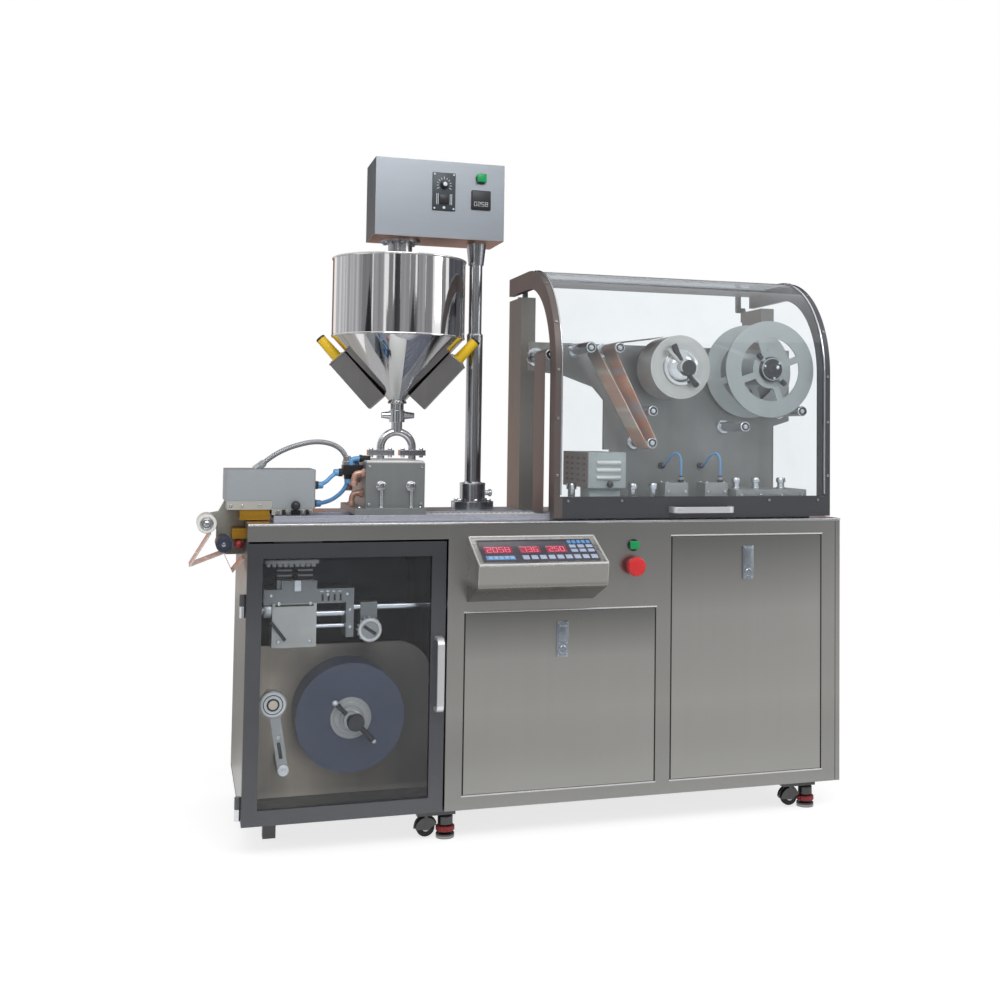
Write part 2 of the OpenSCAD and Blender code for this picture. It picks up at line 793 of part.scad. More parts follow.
module heater_cover() placed() color("lightgray") {
  low = heat_z - heat_drop;
  top = heat_z + heat_h;
  intersection() {
    translate([heat_x0, heat_y0, low]) linear_extrude(top - low)
      rounded(heat_x1 - heat_x0, heat_y1 - heat_y0, heat_round);
    along_y(heat_y0 - cut, heat_y1 + cut) polygon([[heat_x0, heat_z], [heat_split, heat_z], [heat_split, low],
      [heat_x1, low], [heat_x1, top], [heat_x0, top]]);
  }
  translate([0, 0, z_top]) translate(hose_route[0]) rotate([0, gland_lean, 0])
    translate([0, 0, -gland_l]) cylinder(r = gland_r, h = gland_l);
  for (at = [short_route[0], blue_route[0]]) rod_x(heat_x1, at[0], at[1], z_top + at[2], port_r);
}

module heater_bracket() placed() color("slategray") {
  along_y(plate_y2, plate_y2 + casting_t) polygon([[heat_x0 + heat_edge, heat_z], [heat_split, heat_z],
    [heat_split, heat_shelf], [0, heat_shelf], [0, casting_low], [casting_x[0], casting_low],
    [casting_x[1], tension_z], [casting_x[1], infeed_z - casting_round], [infeed_x, infeed_z - casting_round],
    [infeed_x - casting_nose, infeed_z], [infeed_x, infeed_z + casting_round],
    [casting_x[2], infeed_z + casting_round + heat_edge]]);
  block(heat_x0 + heat_edge, heat_split, heat_y0, plate_y2, heat_shelf, heat_z);
  block(heat_split, base_x1, heat_y0, heat_y1, track_top, heat_z - heat_drop);
}

module heater_plates() placed() color("goldenrod") {
  block(brass_x0, brass_x1, heat_y0 + brass_in, plate_y2, brass_z0, heat_shelf);
  block(low_brass_x0, 0, heat_y0 + brass_in, plate_y2, low_brass_z, low_brass_z + low_brass_h);
}

module infeed_rollers() placed() color("white") {
  rod_y(infeed_x, heat_y0, plate_y1, infeed_z, infeed_r);
  rod_y(infeed_x, plate_y1, plate_y2, infeed_z, axle_r);
  rod_y(tension_x, heat_y0, plate_y1, tension_z, tension_r);
  rod_y(tension_x, plate_y1, plate_y2, tension_z, axle_r);
}

module film_loop() placed() color("lightblue", 0.5) {
  tip = [-film_reach, z_top - loop_drop];
  top_end = [infeed_x + loop_lead[0], infeed_z - infeed_r];
  low_end = [tension_x, tension_z - tension_r - seat];
  drop = [0, -film_t];
  along_y(web_y0, web_y1) polygon([top_end, tip, tip + drop, low_end + drop, low_end, tip + loop_fold,
    top_end + [loop_lead[1], 0]]);
  along_y(web_y0, web_y1) strip([low_end + drop / 2, [0, z_top] + tail_tip, [0, z_top] + tail_end], film_t);
}

module air_manifold() placed() color("dimgray") {
  block(manifold_x0, feeder_x0, manifold_y[0], manifold_y[1], manifold_z[0], manifold_z[1]);
  top_at = hose_route[len(hose_route) - 1];
  rod_z(top_at[0], top_at[1], manifold_z[1], z_top + top_at[2], gland_r);
  low_at = blue_route[len(blue_route) - 1];
  rod_z(low_at[0], low_at[1], z_top + low_at[2], manifold_z[0], port_r);
  side_at = short_route[len(short_route) - 1];
  rod_x(side_at[0], manifold_x0, side_at[1], z_top + side_at[2], port_r);
}

module track() placed() color("silver") {
  block(track_x0, track_x1, track_y0, track_y1, z_top, z_top + track_base_t);
  for (y = [track_y0, track_y1 - rail_w]) block(track_x0, track_x1, y, y + rail_w, z_top, track_top);
}

module film_web() placed() color("lavender") {
  block(track_x0, track_x1, web_y0, web_y1, z_top + track_base_t, z_top + track_base_t + film_t);
}

module tower_bed() placed() color("dimgray") {
  block(bed_x0, bed_x1, track_y1 + bed_gap, bed_y1, z_top, track_top);
}

module feeder_box() placed() color("gray") {
  block(bed_x0, feeder_x1, feeder_y0 - feeder_front, feeder_y1, track_top, feeder_z);
  block(feeder_x0, feeder_x1, feeder_y0, feeder_y1, feeder_z, feeder_top);
  for (x = tap_x) {
    rod_y(x, feeder_y0 - tap_len, feeder_y0, feeder_z + tap_z, tap_r);
    rod_z(x, feeder_y0 - tap_rod_out, feeder_z, feeder_z + tap_rod_h, tap_rod_r);
  }
}

module feed_pipe() placed() color("silver") {
  for (x = [hopper_x - bend_r, hopper_x + bend_r]) {
    rod_z(x, tower_y, feeder_top, feeder_top + leg_h, pipe_r);
    block(x - clamp_half, x + clamp_half, tower_y - clamp_side, tower_y + clamp_side, feeder_top + clamp_z[0],
      feeder_top + clamp_z[1]);
  }
  translate([hopper_x, tower_y, feeder_top + leg_h]) rotate([90, 0, 0]) rotate_extrude(angle = 180)
    translate([bend_r, 0]) circle(r = pipe_r);
}

module outlet_valve() placed() color("silver") {
  difference() {
    rod_z(hopper_x, tower_y, pipe_top - pipe_r, pipe_top + valve_z[0], valve_r[0]);
    rod_x(hopper_x - valve_r[1], hopper_x + valve_r[1], tower_y, pipe_top - pipe_r, pipe_r + seat);
  }
  rod_z(hopper_x, tower_y, pipe_top + valve_z[0], pipe_top + valve_z[1], valve_r[1]);
  rod_z(hopper_x, tower_y, pipe_top + valve_z[1], cone_z, neck_r);
  translate([hopper_x, tower_y, pipe_top + valve_h / 2]) for (s = [0, 1]) rotate([0, 180 * s - 90, 0])
    cylinder(r1 = valve_wing_r[0], r2 = valve_wing_r[1], h = valve_wing[s]);
}

module hopper() placed() color("silver") translate([hopper_x, tower_y, 0]) rotate_extrude() {
  inner_r = hopper_r - hopper_wall;
  polygon([[neck_r, cone_z], [hopper_r, hopper_z], [hopper_r, hopper_top], [inner_r, hopper_top],
    [inner_r, hopper_z + hopper_wall / 2], [neck_r - hopper_wall / 2, cone_z + hopper_wall],
    [neck_r - hopper_wall, cone_z]]);
  translate([hopper_r, hopper_top - bead_r]) circle(r = bead_r);
}

// A frame on the cone's side, with X up the slope and Z outward
module on_cone(s) {
  translate([hopper_x, tower_y, 0]) rotate(-box_turn) mirror([s < 0 ? 1 : 0, 0, 0])
    translate([neck_r, 0, cone_z]) rotate([0, -cone_angle, 0]) mirror([0, 0, 1]) children();
}

module cone_boxes() placed() color("gray") for (s = [-1, 1]) on_cone(s)
  translate([side_box_at, -side_box_w / 2, seat]) cube([side_box_l, side_box_w, side_box_t]);

module yellow_grips() placed() color("gold") for (s = [-1, 1]) on_cone(s)
  translate([side_box_at + side_box_l, 0, side_box_t / 2]) rotate([0, 90, 0])
  cylinder(r1 = grip_r[0], r2 = grip_r[1], h = grip_l);

module tower_post() placed() color("silver") translate([post_x, tower_y, track_top]) {
  rise = box_z - track_top;
  cylinder(r = flange_r, h = flange_t);
  cylinder(r = clamp_r, h = flange_t + clamp_h);
  cylinder(r = post_r, h = flange_t + lower_h);
  cylinder(r = upper_r, h = rise);
  translate([0, 0, rise - collar_h]) cylinder(r1 = collar_r[0], r2 = collar_r[1], h = collar_h);
  rod_x(0, clamp_r + clamp_screw[1], 0, flange_t + clamp_h / 2, clamp_screw[0]);
}

module drive_box() placed() color("lightgray") {
  block(box_x0, box_x0 + box_w, box_y0, box_y0 + box_d, box_z, box_z + box_h);
}

module drive_tube() placed() color("silver") {
  rod_z(hopper_x, tower_y, box_z - tube_flange_t, box_z, tube_flange_r);
  rod_z(hopper_x, tower_y, hopper_top - tube_dip, box_z, tube_r);
}

module drive_controls() placed() color("black") translate([box_x0, box_y0, box_z]) {
  block(speed_x[0], speed_x[1], -plate_out, 0, speed_z[0], speed_z[1]);
  rod_y((speed_x[0] + speed_x[1]) / 2, -speed_knob_out, -plate_out, speed_z[1] - 2 * speed_knob_r,
    speed_knob_r);
  block(counter_x[0], counter_x[1], -plate_out, 0, counter_z[0], counter_z[1]);
  rod_y((counter_x[0] + counter_x[1]) / 2, -lamp_out, 0, lamp_z, lamp_r);
}

// The hood's side outline: straight front, curved shoulder, flat top
module hood_outline(inset, low, back) {
  translate([hood_y0 + inset, low]) square([hood_r - inset, arc_z - low]);
  intersection() {
    translate([arc_y, arc_z]) circle(r = hood_r - inset, $fn = 128);
    translate([hood_y0, arc_z]) square([hood_r, hood_r]);
  }
  translate([arc_y, low]) square([back - arc_y, hood_z1 - inset - low]);
}

module hood_band_outline(inset, t, low, back) difference() {
  hood_outline(inset, low, back);
  hood_outline(inset + t, low - cut, back + cut);
}

module hood_frame() placed() color("dimgray") {
  difference() {
    for (x = [hood_x0, hood_x1 - hood_end_t]) along_x(x, x + hood_end_t)
      hood_band_outline(0, hood_band, hood_z0, hood_back);
    block(hood_x0 - cut, hood_x1 + cut, track_y0 - run_gap, arc_y, z_top, track_top + run_gap);
  }
  block(hood_x0, hood_x1, hood_y0, hood_y0 + bar_t, hood_z0, hood_z0 + bar_h);
  block(hood_x0, hood_x1, rail_y0, hood_back, hood_z1 - rail_t, hood_z1);
  for (x = [hood_x0 + post_w + lug_gap, hood_x1 - post_w - lug_gap - lug_w]) difference() {
    union() {
      rod_x(x, x + lug_w, pivot_y, pivot_z, lug_r);
      block(x, x + lug_w, hood_back - cut, pivot_y + lug_r, pivot_z, hood_z1);
    }
    rod_x(x - cut, x + lug_w + cut, pivot_y, pivot_z, hood_pin_r + seat);
  }
}

module hood_window() placed() color("lightblue", 0.3) along_x(hood_x0 + hood_end_t, hood_x1 - hood_end_t)
  hood_band_outline(window_in, glass_t, hood_z0 + bar_h, rail_y0);

module hood_handle() placed() color("silver") {
  hx = (hood_x0 + hood_x1 - grip_bar_l) / 2 + grip_bar_shift;
  hz = hood_z0 + grip_bar_z;
  translate([hx, hood_y0, hz - grip_bar_w / 2]) linear_extrude(grip_bar_w) mirror([0, 1])
    bow(grip_bar_l, grip_bar_out, grip_bar_t, grip_bar_bend);
}

module rear_posts() placed() color("gray") for (s = [0, 1]) {
  x = s == 0 ? hood_x0 : hood_x1 - post_w;
  lug_x = s == 0 ? hood_x0 + post_w + lug_gap : hood_x1 - post_w - lug_gap - lug_w;
  ear_x = s == 0 ? hood_x0 + post_w - lug_w : hood_x1 - post_w;
  block(x, x + post_w, post_y0, post_y1, z_top, post_top);
  block(ear_x, ear_x + lug_w, post_y1 - cut, pivot_y, post_top - ear_h, pivot_z);
  rod_x(ear_x, ear_x + lug_w, pivot_y, pivot_z, lug_r);
  rod_x(min(ear_x, lug_x), max(ear_x, lug_x) + lug_w, pivot_y, pivot_z, hood_pin_r);
}

module reel_plate() placed() color("gray") {
  along_y(reel_y, reel_y + reel_t) polygon([[reel_x0, reel_top], [reel_x1, reel_top], [reel_x1, wing_z[1]],
    [stem_x[1], wing_z[0]], [stem_x[1], z_top], [notch_x, z_top], [notch_x, notch_z], [stem_x[0], notch_z],
    [stem_x[0], arm_z[3]], [arm_x[1], arm_z[2]], [arm_x[0], arm_z[1]], [reel_x0, arm_z[0]]]);
  rod_y(foil_c[0], web_y0 - spindle_out, reel_y, foil_c[1], spindle_r);
  rod_y(waste_c[0], waste_y0, reel_y, waste_c[1], spindle_r);
  at = tube_route[0];
  for (k = [0, 1]) rod_y(hood_x0 + at[0] + k * tube_step, at[1], reel_y, z_top + at[2], fitting_r);
}

module guide_rollers() placed() color("silver") {
  for (p = idlers) rod_y(p[0], idler_y, reel_y, p[1], idler_r);
  rod_y(roller_l[0], reel_y - idler_flange_t, reel_y, roller_l[1], idler_flange_r);
}

module foil_roll() placed() color("silver") {
  difference() {
    rod_y(foil_c[0], web_y0, web_y1, foil_c[1], foil_r);
    rod_y(foil_c[0], web_y0 - cut, web_y1 + cut, foil_c[1], spindle_r + seat);
  }
  chuck(foil_c[0], foil_c[1], web_y0, web_y0 + cut, chuck_r);
}

module reel_flange() difference() {
  circle(r = waste_r);
  circle(r = spindle_r + seat);
  for (k = [0:3]) rotate(90 * k + spoke_turn) difference() {
    intersection() {
      circle(r = waste_ring);
      translate([spoke_half, spoke_half]) square(waste_r);
    }
    circle(r = waste_hub);
  }
}

module waste_reel() placed() color("lightsteelblue") translate([waste_c[0], 0, waste_c[1]]) {
  for (y = [waste_y0, waste_y1 - waste_t]) along_y(y, y + waste_t) reel_flange();
  difference() {
    union() {
      rod_y(0, waste_y0, waste_y1, 0, waste_core_r);
      rod_y(0, waste_y0 - hub_cap_t, waste_y0, 0, hub_cap_r);
      rotate([0, 45, 0]) rod_x(-hub_lever, hub_lever, waste_y0 - hub_cap_t / 2, 0, lever_r);
    }
    rod_y(0, waste_y0 - hub_cap_t + hub_skin, waste_y1 + cut, 0, spindle_r + seat);
  }
}

module lidding_foil() placed() color("silver") along_y(foil_y0, web_y1) strip(foil_path, foil_t);

module louvre_box() placed() color("lightgray") {
  difference() {
    block(louvre_x0, louvre_x0 + louvre_w, louvre_y0, louvre_y1, louvre_z[0], louvre_z[1]);
    for (y = vent_slot_y, z = vent_slot_z) translate([louvre_x0 - cut, louvre_y0 + y - vent_slot[1] / 2,
      louvre_z[0] + z]) cube([vent_slot[0] + cut, vent_slot[1], vent_slot[2]]);
  }
  block(louvre_x0 + louvre_foot[0], louvre_x0 + louvre_w - louvre_foot[0], louvre_y0 + louvre_foot[1],
    louvre_y0 + louvre_foot[2], seal_z, louvre_z[0]);
  for (z = vent_z) rod_x(louvre_x0 + vent_x[0], louvre_x0 + vent_x[1], louvre_y0,
    louvre_z[0] + z + vent_r, vent_r);
}

module sealing_bed() placed() color("silver") {
  block(seal_x0, track_x1, track_y0, track_y1 - seal_back, track_top, seal_z);
  block(punch_x0, punch_x1, track_y0 + punch_in, track_y1 - seal_back - punch_in, seal_z, seal_z + punch_h);
  for (x = stud_x) rod_z(x, stud_y, seal_z, seal_z + stud_h, stud_r);
  for (s = stud_at) rod_z(punch_x0 + s * (punch_x1 - punch_x0), stud_y, seal_z + punch_h,
    seal_z + punch_h + punch_stud_h, stud_r);
  tip = tube_route[len(tube_route) - 1];
  for (k = [0, 1]) {
    x = hood_x0 + cyl_at + k * tube_step;
    block(x, x + cyl_w, cyl_y[0], cyl_y[1], seal_z, seal_z + cyl_h);
    rod_z(hood_x0 + tip[0] + k * tube_step, tip[1], seal_z + cyl_h, z_top + tip[2], fitting_r);
  }
}

module braided_hose() placed() color("gray") translate([0, 0, z_top])
  hose(hose_route, hose_d, heading(hose_route, 0), [0, 0, -1]);

module blue_hose() placed() color("deepskyblue") translate([0, 0, z_top])
  hose(blue_route, blue_d, [1, 0, 0], [0, 0, 1]);

module short_hose() placed() color("deepskyblue") translate([0, 0, z_top])
  hose(short_route, blue_d, [1, 0, 0], [1, 0, 0]);

module hood_tube(k) translate([hood_x0 + k * tube_step, 0, z_top])
  hose(tube_route, tube_d, [0, -1, 0], [0, 0, -1], [1, 0, 0]);

module front_tube() placed() color("dodgerblue") hood_tube(0);

module rear_tube() placed() color("dodgerblue") hood_tube(1);

worktop();
front_fascia();
bay_apron();
side_panels();
back_panel();
bottom_plate();
partition_wall();
middle_panel();
right_panel();
caster_bodies();
caster_wheels();
console_housing();
console_keypad();
start_button();
stop_button();
door_frame();
door_window();
door_handle();
door_hinges();
bay_mount_plate();
film_roll();
film_chuck();
dancer_arm();
index_mechanism();
heater_cover();
heater_bracket();
heater_plates();
infeed_rollers();
film_loop();
air_manifold();
track();
film_web();
tower_bed();
feeder_box();
feed_pipe();
outlet_valve();
hopper();
cone_boxes();
yellow_grips();
tower_post();
drive_box();
drive_tube();
drive_controls();
hood_frame();
hood_window();
hood_handle();
rear_posts();
reel_plate();
guide_rollers();
foil_roll();
waste_reel();
lidding_foil();
louvre_box();
sealing_bed();
braided_hose();
blue_hose();
short_hose();
front_tube();
rear_tube();
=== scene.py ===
# %% [markdown]
# A blister packing machine stands on the floor: a steel cabinet with a glazed
# film bay, a pill hopper on a tower and a clear hood over the sealing station.
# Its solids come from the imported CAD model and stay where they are. This lesson
# adds the camera, the light, the finishes and the small parts.

# %% Load the solids
import math

import bmesh
import bpy
from mathutils import Matrix, Vector


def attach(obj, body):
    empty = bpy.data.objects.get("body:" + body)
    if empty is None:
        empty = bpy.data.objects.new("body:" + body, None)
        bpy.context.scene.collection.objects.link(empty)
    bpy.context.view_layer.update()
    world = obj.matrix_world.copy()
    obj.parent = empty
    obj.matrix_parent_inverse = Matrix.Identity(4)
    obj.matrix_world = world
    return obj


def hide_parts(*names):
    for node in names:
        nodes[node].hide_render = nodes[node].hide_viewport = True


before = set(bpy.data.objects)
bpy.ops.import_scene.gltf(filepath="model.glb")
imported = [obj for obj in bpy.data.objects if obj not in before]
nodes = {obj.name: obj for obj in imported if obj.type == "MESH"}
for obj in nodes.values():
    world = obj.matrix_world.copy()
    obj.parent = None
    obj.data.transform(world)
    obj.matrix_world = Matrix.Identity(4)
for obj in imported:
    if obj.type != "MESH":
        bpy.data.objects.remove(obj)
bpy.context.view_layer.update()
scene = bpy.context.scene

# %% [markdown]
# The camera stands a little left of the machine and at chest height. Its place,
# turn and lens were worked out from the cabinet's straight edges. The shift moves
# the picture on the sensor without turning the camera, so uprights stay upright.

# %% Camera
YAW, PITCH, ROLL = (math.radians(a) for a in (17.613, 2.902, 0.684))
CAMERA_AT = (-0.8458, -3.1679, 0.9664)
LENS_MM, SENSOR_MM = 45.33, 36
SHIFT = (-0.0785, -0.1317)
CLIP_END = 60
ahead = Vector((math.sin(YAW) * math.cos(PITCH), math.cos(YAW) * math.cos(PITCH), math.sin(PITCH)))
level_right = Vector((math.cos(YAW), -math.sin(YAW), 0))
level_up = level_right.cross(ahead)
right = math.cos(ROLL) * level_right + math.sin(ROLL) * level_up
up = math.cos(ROLL) * level_up - math.sin(ROLL) * level_right

camera = bpy.data.objects.new("camera", bpy.data.cameras.new("camera"))
scene.collection.objects.link(camera)
turn = Matrix((right, up, -ahead)).transposed().to_4x4()
camera.matrix_world = Matrix.Translation(CAMERA_AT) @ turn
camera.data.lens = LENS_MM
camera.data.sensor_width = SENSOR_MM
camera.data.shift_x, camera.data.shift_y = SHIFT
camera.data.clip_end = CLIP_END
scene.camera = camera
print("camera looks along", [round(a, 3) for a in ahead])

# %% [markdown]
# Sizes below are in millimetres from the cabinet's left front corner on the
# floor, as a fitter would measure them. One matrix turns them into metres in the
# shared frame. Shapes are collected in a bmesh, because many bolts or keys can
# then become one piece.

# %% Helpers: places and pieces
MID_X, MID_Y = 687.5, 220.0
TO_ROW = Matrix.Scale(0.001, 4) @ Matrix.Translation((-MID_X, -MID_Y, 0))
CREASE = math.radians(35)
FINISHES = {}


def place(x, y, z):
    return TO_ROW @ Vector((x, y, z))


def piece(name, bm, finish, body="machine", stands_for=()):
    """Turns a bmesh in millimetres into an object that rides on a body."""
    bmesh.ops.recalc_face_normals(bm, faces=bm.faces)
    bm.transform(TO_ROW)
    mesh = bpy.data.meshes.new(name)
    bm.to_mesh(mesh)
    bm.free()
    mesh.shade_smooth()
    mesh.set_sharp_from_angle(angle=CREASE)
    mesh.materials.append(FINISHES[finish])
    obj = bpy.data.objects.new(name, mesh)
    scene.collection.objects.link(obj)
    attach(obj, body)
    if stands_for:
        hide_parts(*stands_for)
    return obj


print("the left front corner is at", [round(c, 4) for c in place(0, 0, 0)])

# %% [markdown]
# A machine is made of few kinds of shape: bars with rounded edges, turned parts,
# bent tubes and cut plates. Each has a helper that adds one to a bmesh. Turned
# parts are drawn as on a lathe, by their profile alone.

# %% Helpers: bars and turned parts
AXES = {
    "x": (1, 0, 0), "y": (0, 1, 0), "z": (0, 0, 1),
    "left": (-1, 0, 0), "front": (0, -1, 0), "down": (0, 0, -1),
}
ON_AXIS = 1e-6


def block(bm, x0, x1, y0, y1, z0, z1, soft=1.0, steps=2, turn=None):
    """A bar with rounded edges between two corners."""
    size = Vector((x1 - x0, y1 - y0, z1 - z0))
    middle = Vector((x0 + x1, y0 + y1, z0 + z1)) / 2
    made = bmesh.ops.create_cube(bm, size=1)["verts"]
    shape = Matrix.Translation(middle) @ Matrix.Diagonal((*size, 1))
    bmesh.ops.transform(bm, matrix=shape, verts=made)
    edges = list({e for v in made for e in v.link_edges})
    rounded = bmesh.ops.bevel(bm, geom=edges, offset=soft, segments=steps, profile=0.5, affect="EDGES")
    if turn is not None:
        every = {v for f in rounded["faces"] for v in f.verts} | {v for v in made if v.is_valid}
        bmesh.ops.transform(bm, matrix=turn, verts=list(every))


def ring_of(count, radius, start=0):
    """Points evenly round a circle, from an angle in degrees."""
    angles = [math.radians(start + 360 * k / count) for k in range(count)]
    return [(radius * math.cos(a), radius * math.sin(a)) for a in angles]


def turned(bm, base, along, profile, sides=40):
    """A lathe-turned shape: pairs of radius and distance along its axis."""
    axis = Vector(AXES[along] if isinstance(along, str) else along).normalized()
    side = axis.orthogonal().normalized()
    other = axis.cross(side)
    rings = []
    for radius, run in profile:
        centre = Vector(base) + axis * run
        spots = ring_of(sides, radius) if radius > ON_AXIS else [(0, 0)]
        rings.append([bm.verts.new(centre + u * side + v * other) for u, v in spots])
    for low, high in zip(rings, rings[1:]):
        for k in range(sides):
            around = ((low, k), (low, k + 1), (high, k + 1), (high, k))
            corners = list(dict.fromkeys(ring[n % len(ring)] for ring, n in around))
            if len(corners) > 2:
                bm.faces.new(corners)


def rod(bm, base, along, radius, length, soft=1.0, sides=32):
    """A plain pin with chamfered ends."""
    inner = radius - soft
    start = [(0, 0), (inner, 0), (radius, soft)]
    end = [(radius, length - soft), (inner, length), (0, length)]
    turned(bm, base, along, start + end, sides)


print("axes to turn about:", ", ".join(AXES))

# %% [markdown]
# Hoses and beads are round bars that bend, and forks are flat plates. A Blender
# curve with a bevel would bend as well. Here a ring of points is carried along the
# path, so that each point's turn and length are known for the braid's pattern.

# %% Helpers: tubes and plates
def smooth_path(points, steps=4):
    """Fills a route of points in with a curve that passes through each."""
    points = [Vector(p) for p in points]
    ends = [2 * points[0] - points[1], *points, 2 * points[-1] - points[-2]]
    path = []
    for a, b, c, d in zip(ends, ends[1:], ends[2:], ends[3:]):
        for k in range(steps):
            t = k / steps
            bend = (2 * a - 5 * b + 4 * c - d) * t**2 + (3 * b - a - 3 * c + d) * t**3
            path.append(0.5 * (2 * b + (c - a) * t + bend))
    return [*path, points[-1]]


def tube(bm, path, radius, sides=16):
    """A round bar or hose swept along a path, with a UV of turn and length."""
    uv = bm.loops.layers.uv.verify()
    path = [Vector(p) for p in path]
    side = (path[1] - path[0]).orthogonal().normalized()
    rings, run = [], [0.0]
    for i, point in enumerate(path):
        ahead_of = path[min(i + 1, len(path) - 1)]
        way = (ahead_of - path[max(i - 1, 0)]).normalized()
        side = (side - side.dot(way) * way).normalized()
        other = way.cross(side)
        rings.append([bm.verts.new(point + u * side + v * other) for u, v in ring_of(sides, radius)])
        run.append(run[-1] + (ahead_of - point).length)
    for i, (low, high) in enumerate(zip(rings, rings[1:])):
        for k in range(sides):
            n = (k + 1) % sides
            face = bm.faces.new((low[k], low[n], high[n], high[k]))
            turns = (k / sides, (k + 1) / sides, (k + 1) / sides, k / sides)
            runs = (run[i], run[i], run[i + 1], run[i + 1])
            for loop, u, v in zip(face.loops, turns, runs):
                loop[uv].uv = (u, v)
    bm.faces.new(rings[0][::-1])
    bm.faces.new(rings[-1])


def plate(bm, near, far):
    """A plate between two outlines with as many points each."""
    near, far = ([bm.verts.new(p) for p in outline] for outline in (near, far))
    for k in range(len(near)):
        n = (k + 1) % len(near)
        bm.faces.new((near[k], near[n], far[n], far[k]))
    bm.faces.new(near[::-1])
    bm.faces.new(far)


def about(x, z, degrees):
    """A turn in the X-Z plane about a point."""
    turn = Matrix.Rotation(math.radians(degrees), 4, "Y")
    return Matrix.Translation((x, 0, z)) @ turn @ Matrix.Translation((-x, 0, -z))


print("a curve through 3 points has", len(smooth_path([(0, 0, 0), (1, 0, 0), (1, 1, 0)])), "points")

# %% [markdown]
# Materials are node trees. Short helpers keep them readable: put places a node
# and wires its sockets, use places a node group, and each of the others gives
# one kind of node and returns what it puts out.

# %% Helpers that wire materials
def tone(red, green, blue):
    """A colour as seen on a screen, from 0 to 255, turned into linear light."""
    shares = (c / 255 for c in (red, green, blue))
    return (*(s / 12.92 if s < 0.04045 else ((s + 0.055) / 1.055) ** 2.4 for s in shares), 1)


def wire(tree, node, sockets):
    """Links the inputs that are given a socket and sets the others."""
    for key, value in sockets.items():
        if isinstance(value, bpy.types.NodeSocket):
            tree.links.new(value, node.inputs[key])
        else:
            node.inputs[key].default_value = value


def put(tree, kind, sockets=None, **settings):
    node = tree.nodes.new("ShaderNode" + kind)
    for key, value in settings.items():
        setattr(node, key, value)
    wire(tree, node, sockets or {})
    return node


def use(tree, group, **sockets):
    node = put(tree, "Group", node_tree=group)
    wire(tree, node, sockets)
    return node.outputs


def mixed(tree, factor, first, second):
    return put(tree, "Mix", {0: factor, 6: first, 7: second}, data_type="RGBA").outputs[2]


def ranged(tree, value, low, high, start=0.0, end=1.0):
    """Low where the value is at start or before, high where it is at end or past it."""
    sockets = {"Value": value, "From Min": start, "From Max": end, "To Min": low, "To Max": high}
    return put(tree, "MapRange", sockets).outputs[0]


def maths(tree, operation, first, second=0.0):
    return put(tree, "Math", {0: first, 1: second}, operation=operation).outputs[0]


def times(tree, first, second):
    return maths(tree, "MULTIPLY", first, second)


def vectors(tree, operation, first, second=(0, 0, 0)):
    return put(tree, "VectorMath", {0: first, 1: second}, operation=operation).outputs


def noise(tree, where, scale, detail, **more):
    return put(tree, "TexNoise", {"Vector": where, "Scale": scale, "Detail": detail, **more}).outputs[0]


def xyz(tree, where):
    return put(tree, "SeparateXYZ", {0: where}).outputs


def bump_from(tree, height, strength, distance, **more):
    sockets = {"Strength": strength, "Distance": distance, "Height": height, **more}
    return put(tree, "Bump", sockets).outputs[0]


print("mid grey is", round(tone(128, 128, 128)[0], 3), "in linear light")

# %% [markdown]
# Some effects come back in many finishes, so each is a node group that is built
# once and placed with its own values. Brushed sheet steel carries fine lines in
# one direction. The group stretches a noise along that direction: a large number
# packs the noise tightly across the lines and a small one draws it out along them.

# %% Group: brushed grain
def new_group(name, inputs, outputs):
    """A shader node group with named sockets: the group, what it is given and its outlet."""
    group = bpy.data.node_groups.new(name, "ShaderNodeTree")
    for way, sockets in (("INPUT", inputs), ("OUTPUT", outputs)):
        for label, kind in sockets.items():
            group.interface.new_socket(label, in_out=way, socket_type="NodeSocket" + kind)
    return group, group.nodes.new("NodeGroupInput").outputs, group.nodes.new("NodeGroupOutput")


BAND_SHARE = (0.03, 0.03, 0.03)
grain_group, given, outlet = new_group(
    "brushed_grain", {"Vector": "Vector", "Stretch": "Vector"}, {"Streak": "Float", "Band": "Float"})
drawn = vectors(grain_group, "MULTIPLY", given["Vector"], given["Stretch"])[0]
fine = noise(grain_group, drawn, 1.0, 3.0, Roughness=0.6)
wide = vectors(grain_group, "MULTIPLY", drawn, BAND_SHARE)[0]
broad = noise(grain_group, wide, 1.0, 2.0)
streak = ranged(grain_group, fine, 0.0, 1.0, 0.3, 0.7)
band = ranged(grain_group, broad, 0.0, 1.0, 0.35, 0.65)
wire(grain_group, outlet, {"Streak": streak, "Band": band})
print("group:", grain_group.name)

# %% [markdown]
# Hands, cloths and powder leave cloudy marks on every surface. A painted mask
# would need an image, so a noise with some distortion gives the blotches, and
# its finer octaves break them up.

# %% Group: handling marks
marks_group, given, outlet = new_group(
    "handling_marks", {"Vector": "Vector", "Scale": "Float"}, {"Mask": "Float"})
cloud = noise(marks_group, given["Vector"], given["Scale"], 5.0, Roughness=0.62, Distortion=0.5)
wire(marks_group, outlet, {"Mask": ranged(marks_group, cloud, 0.0, 1.0, 0.42, 0.72)})
print("group:", marks_group.name)

# %% [markdown]
# Machined and folded edges are never quite sharp. The Bevel node gives the normal
# of a rounded edge without touching the mesh, and where it differs from the flat
# normal the edge is rubbed bright.

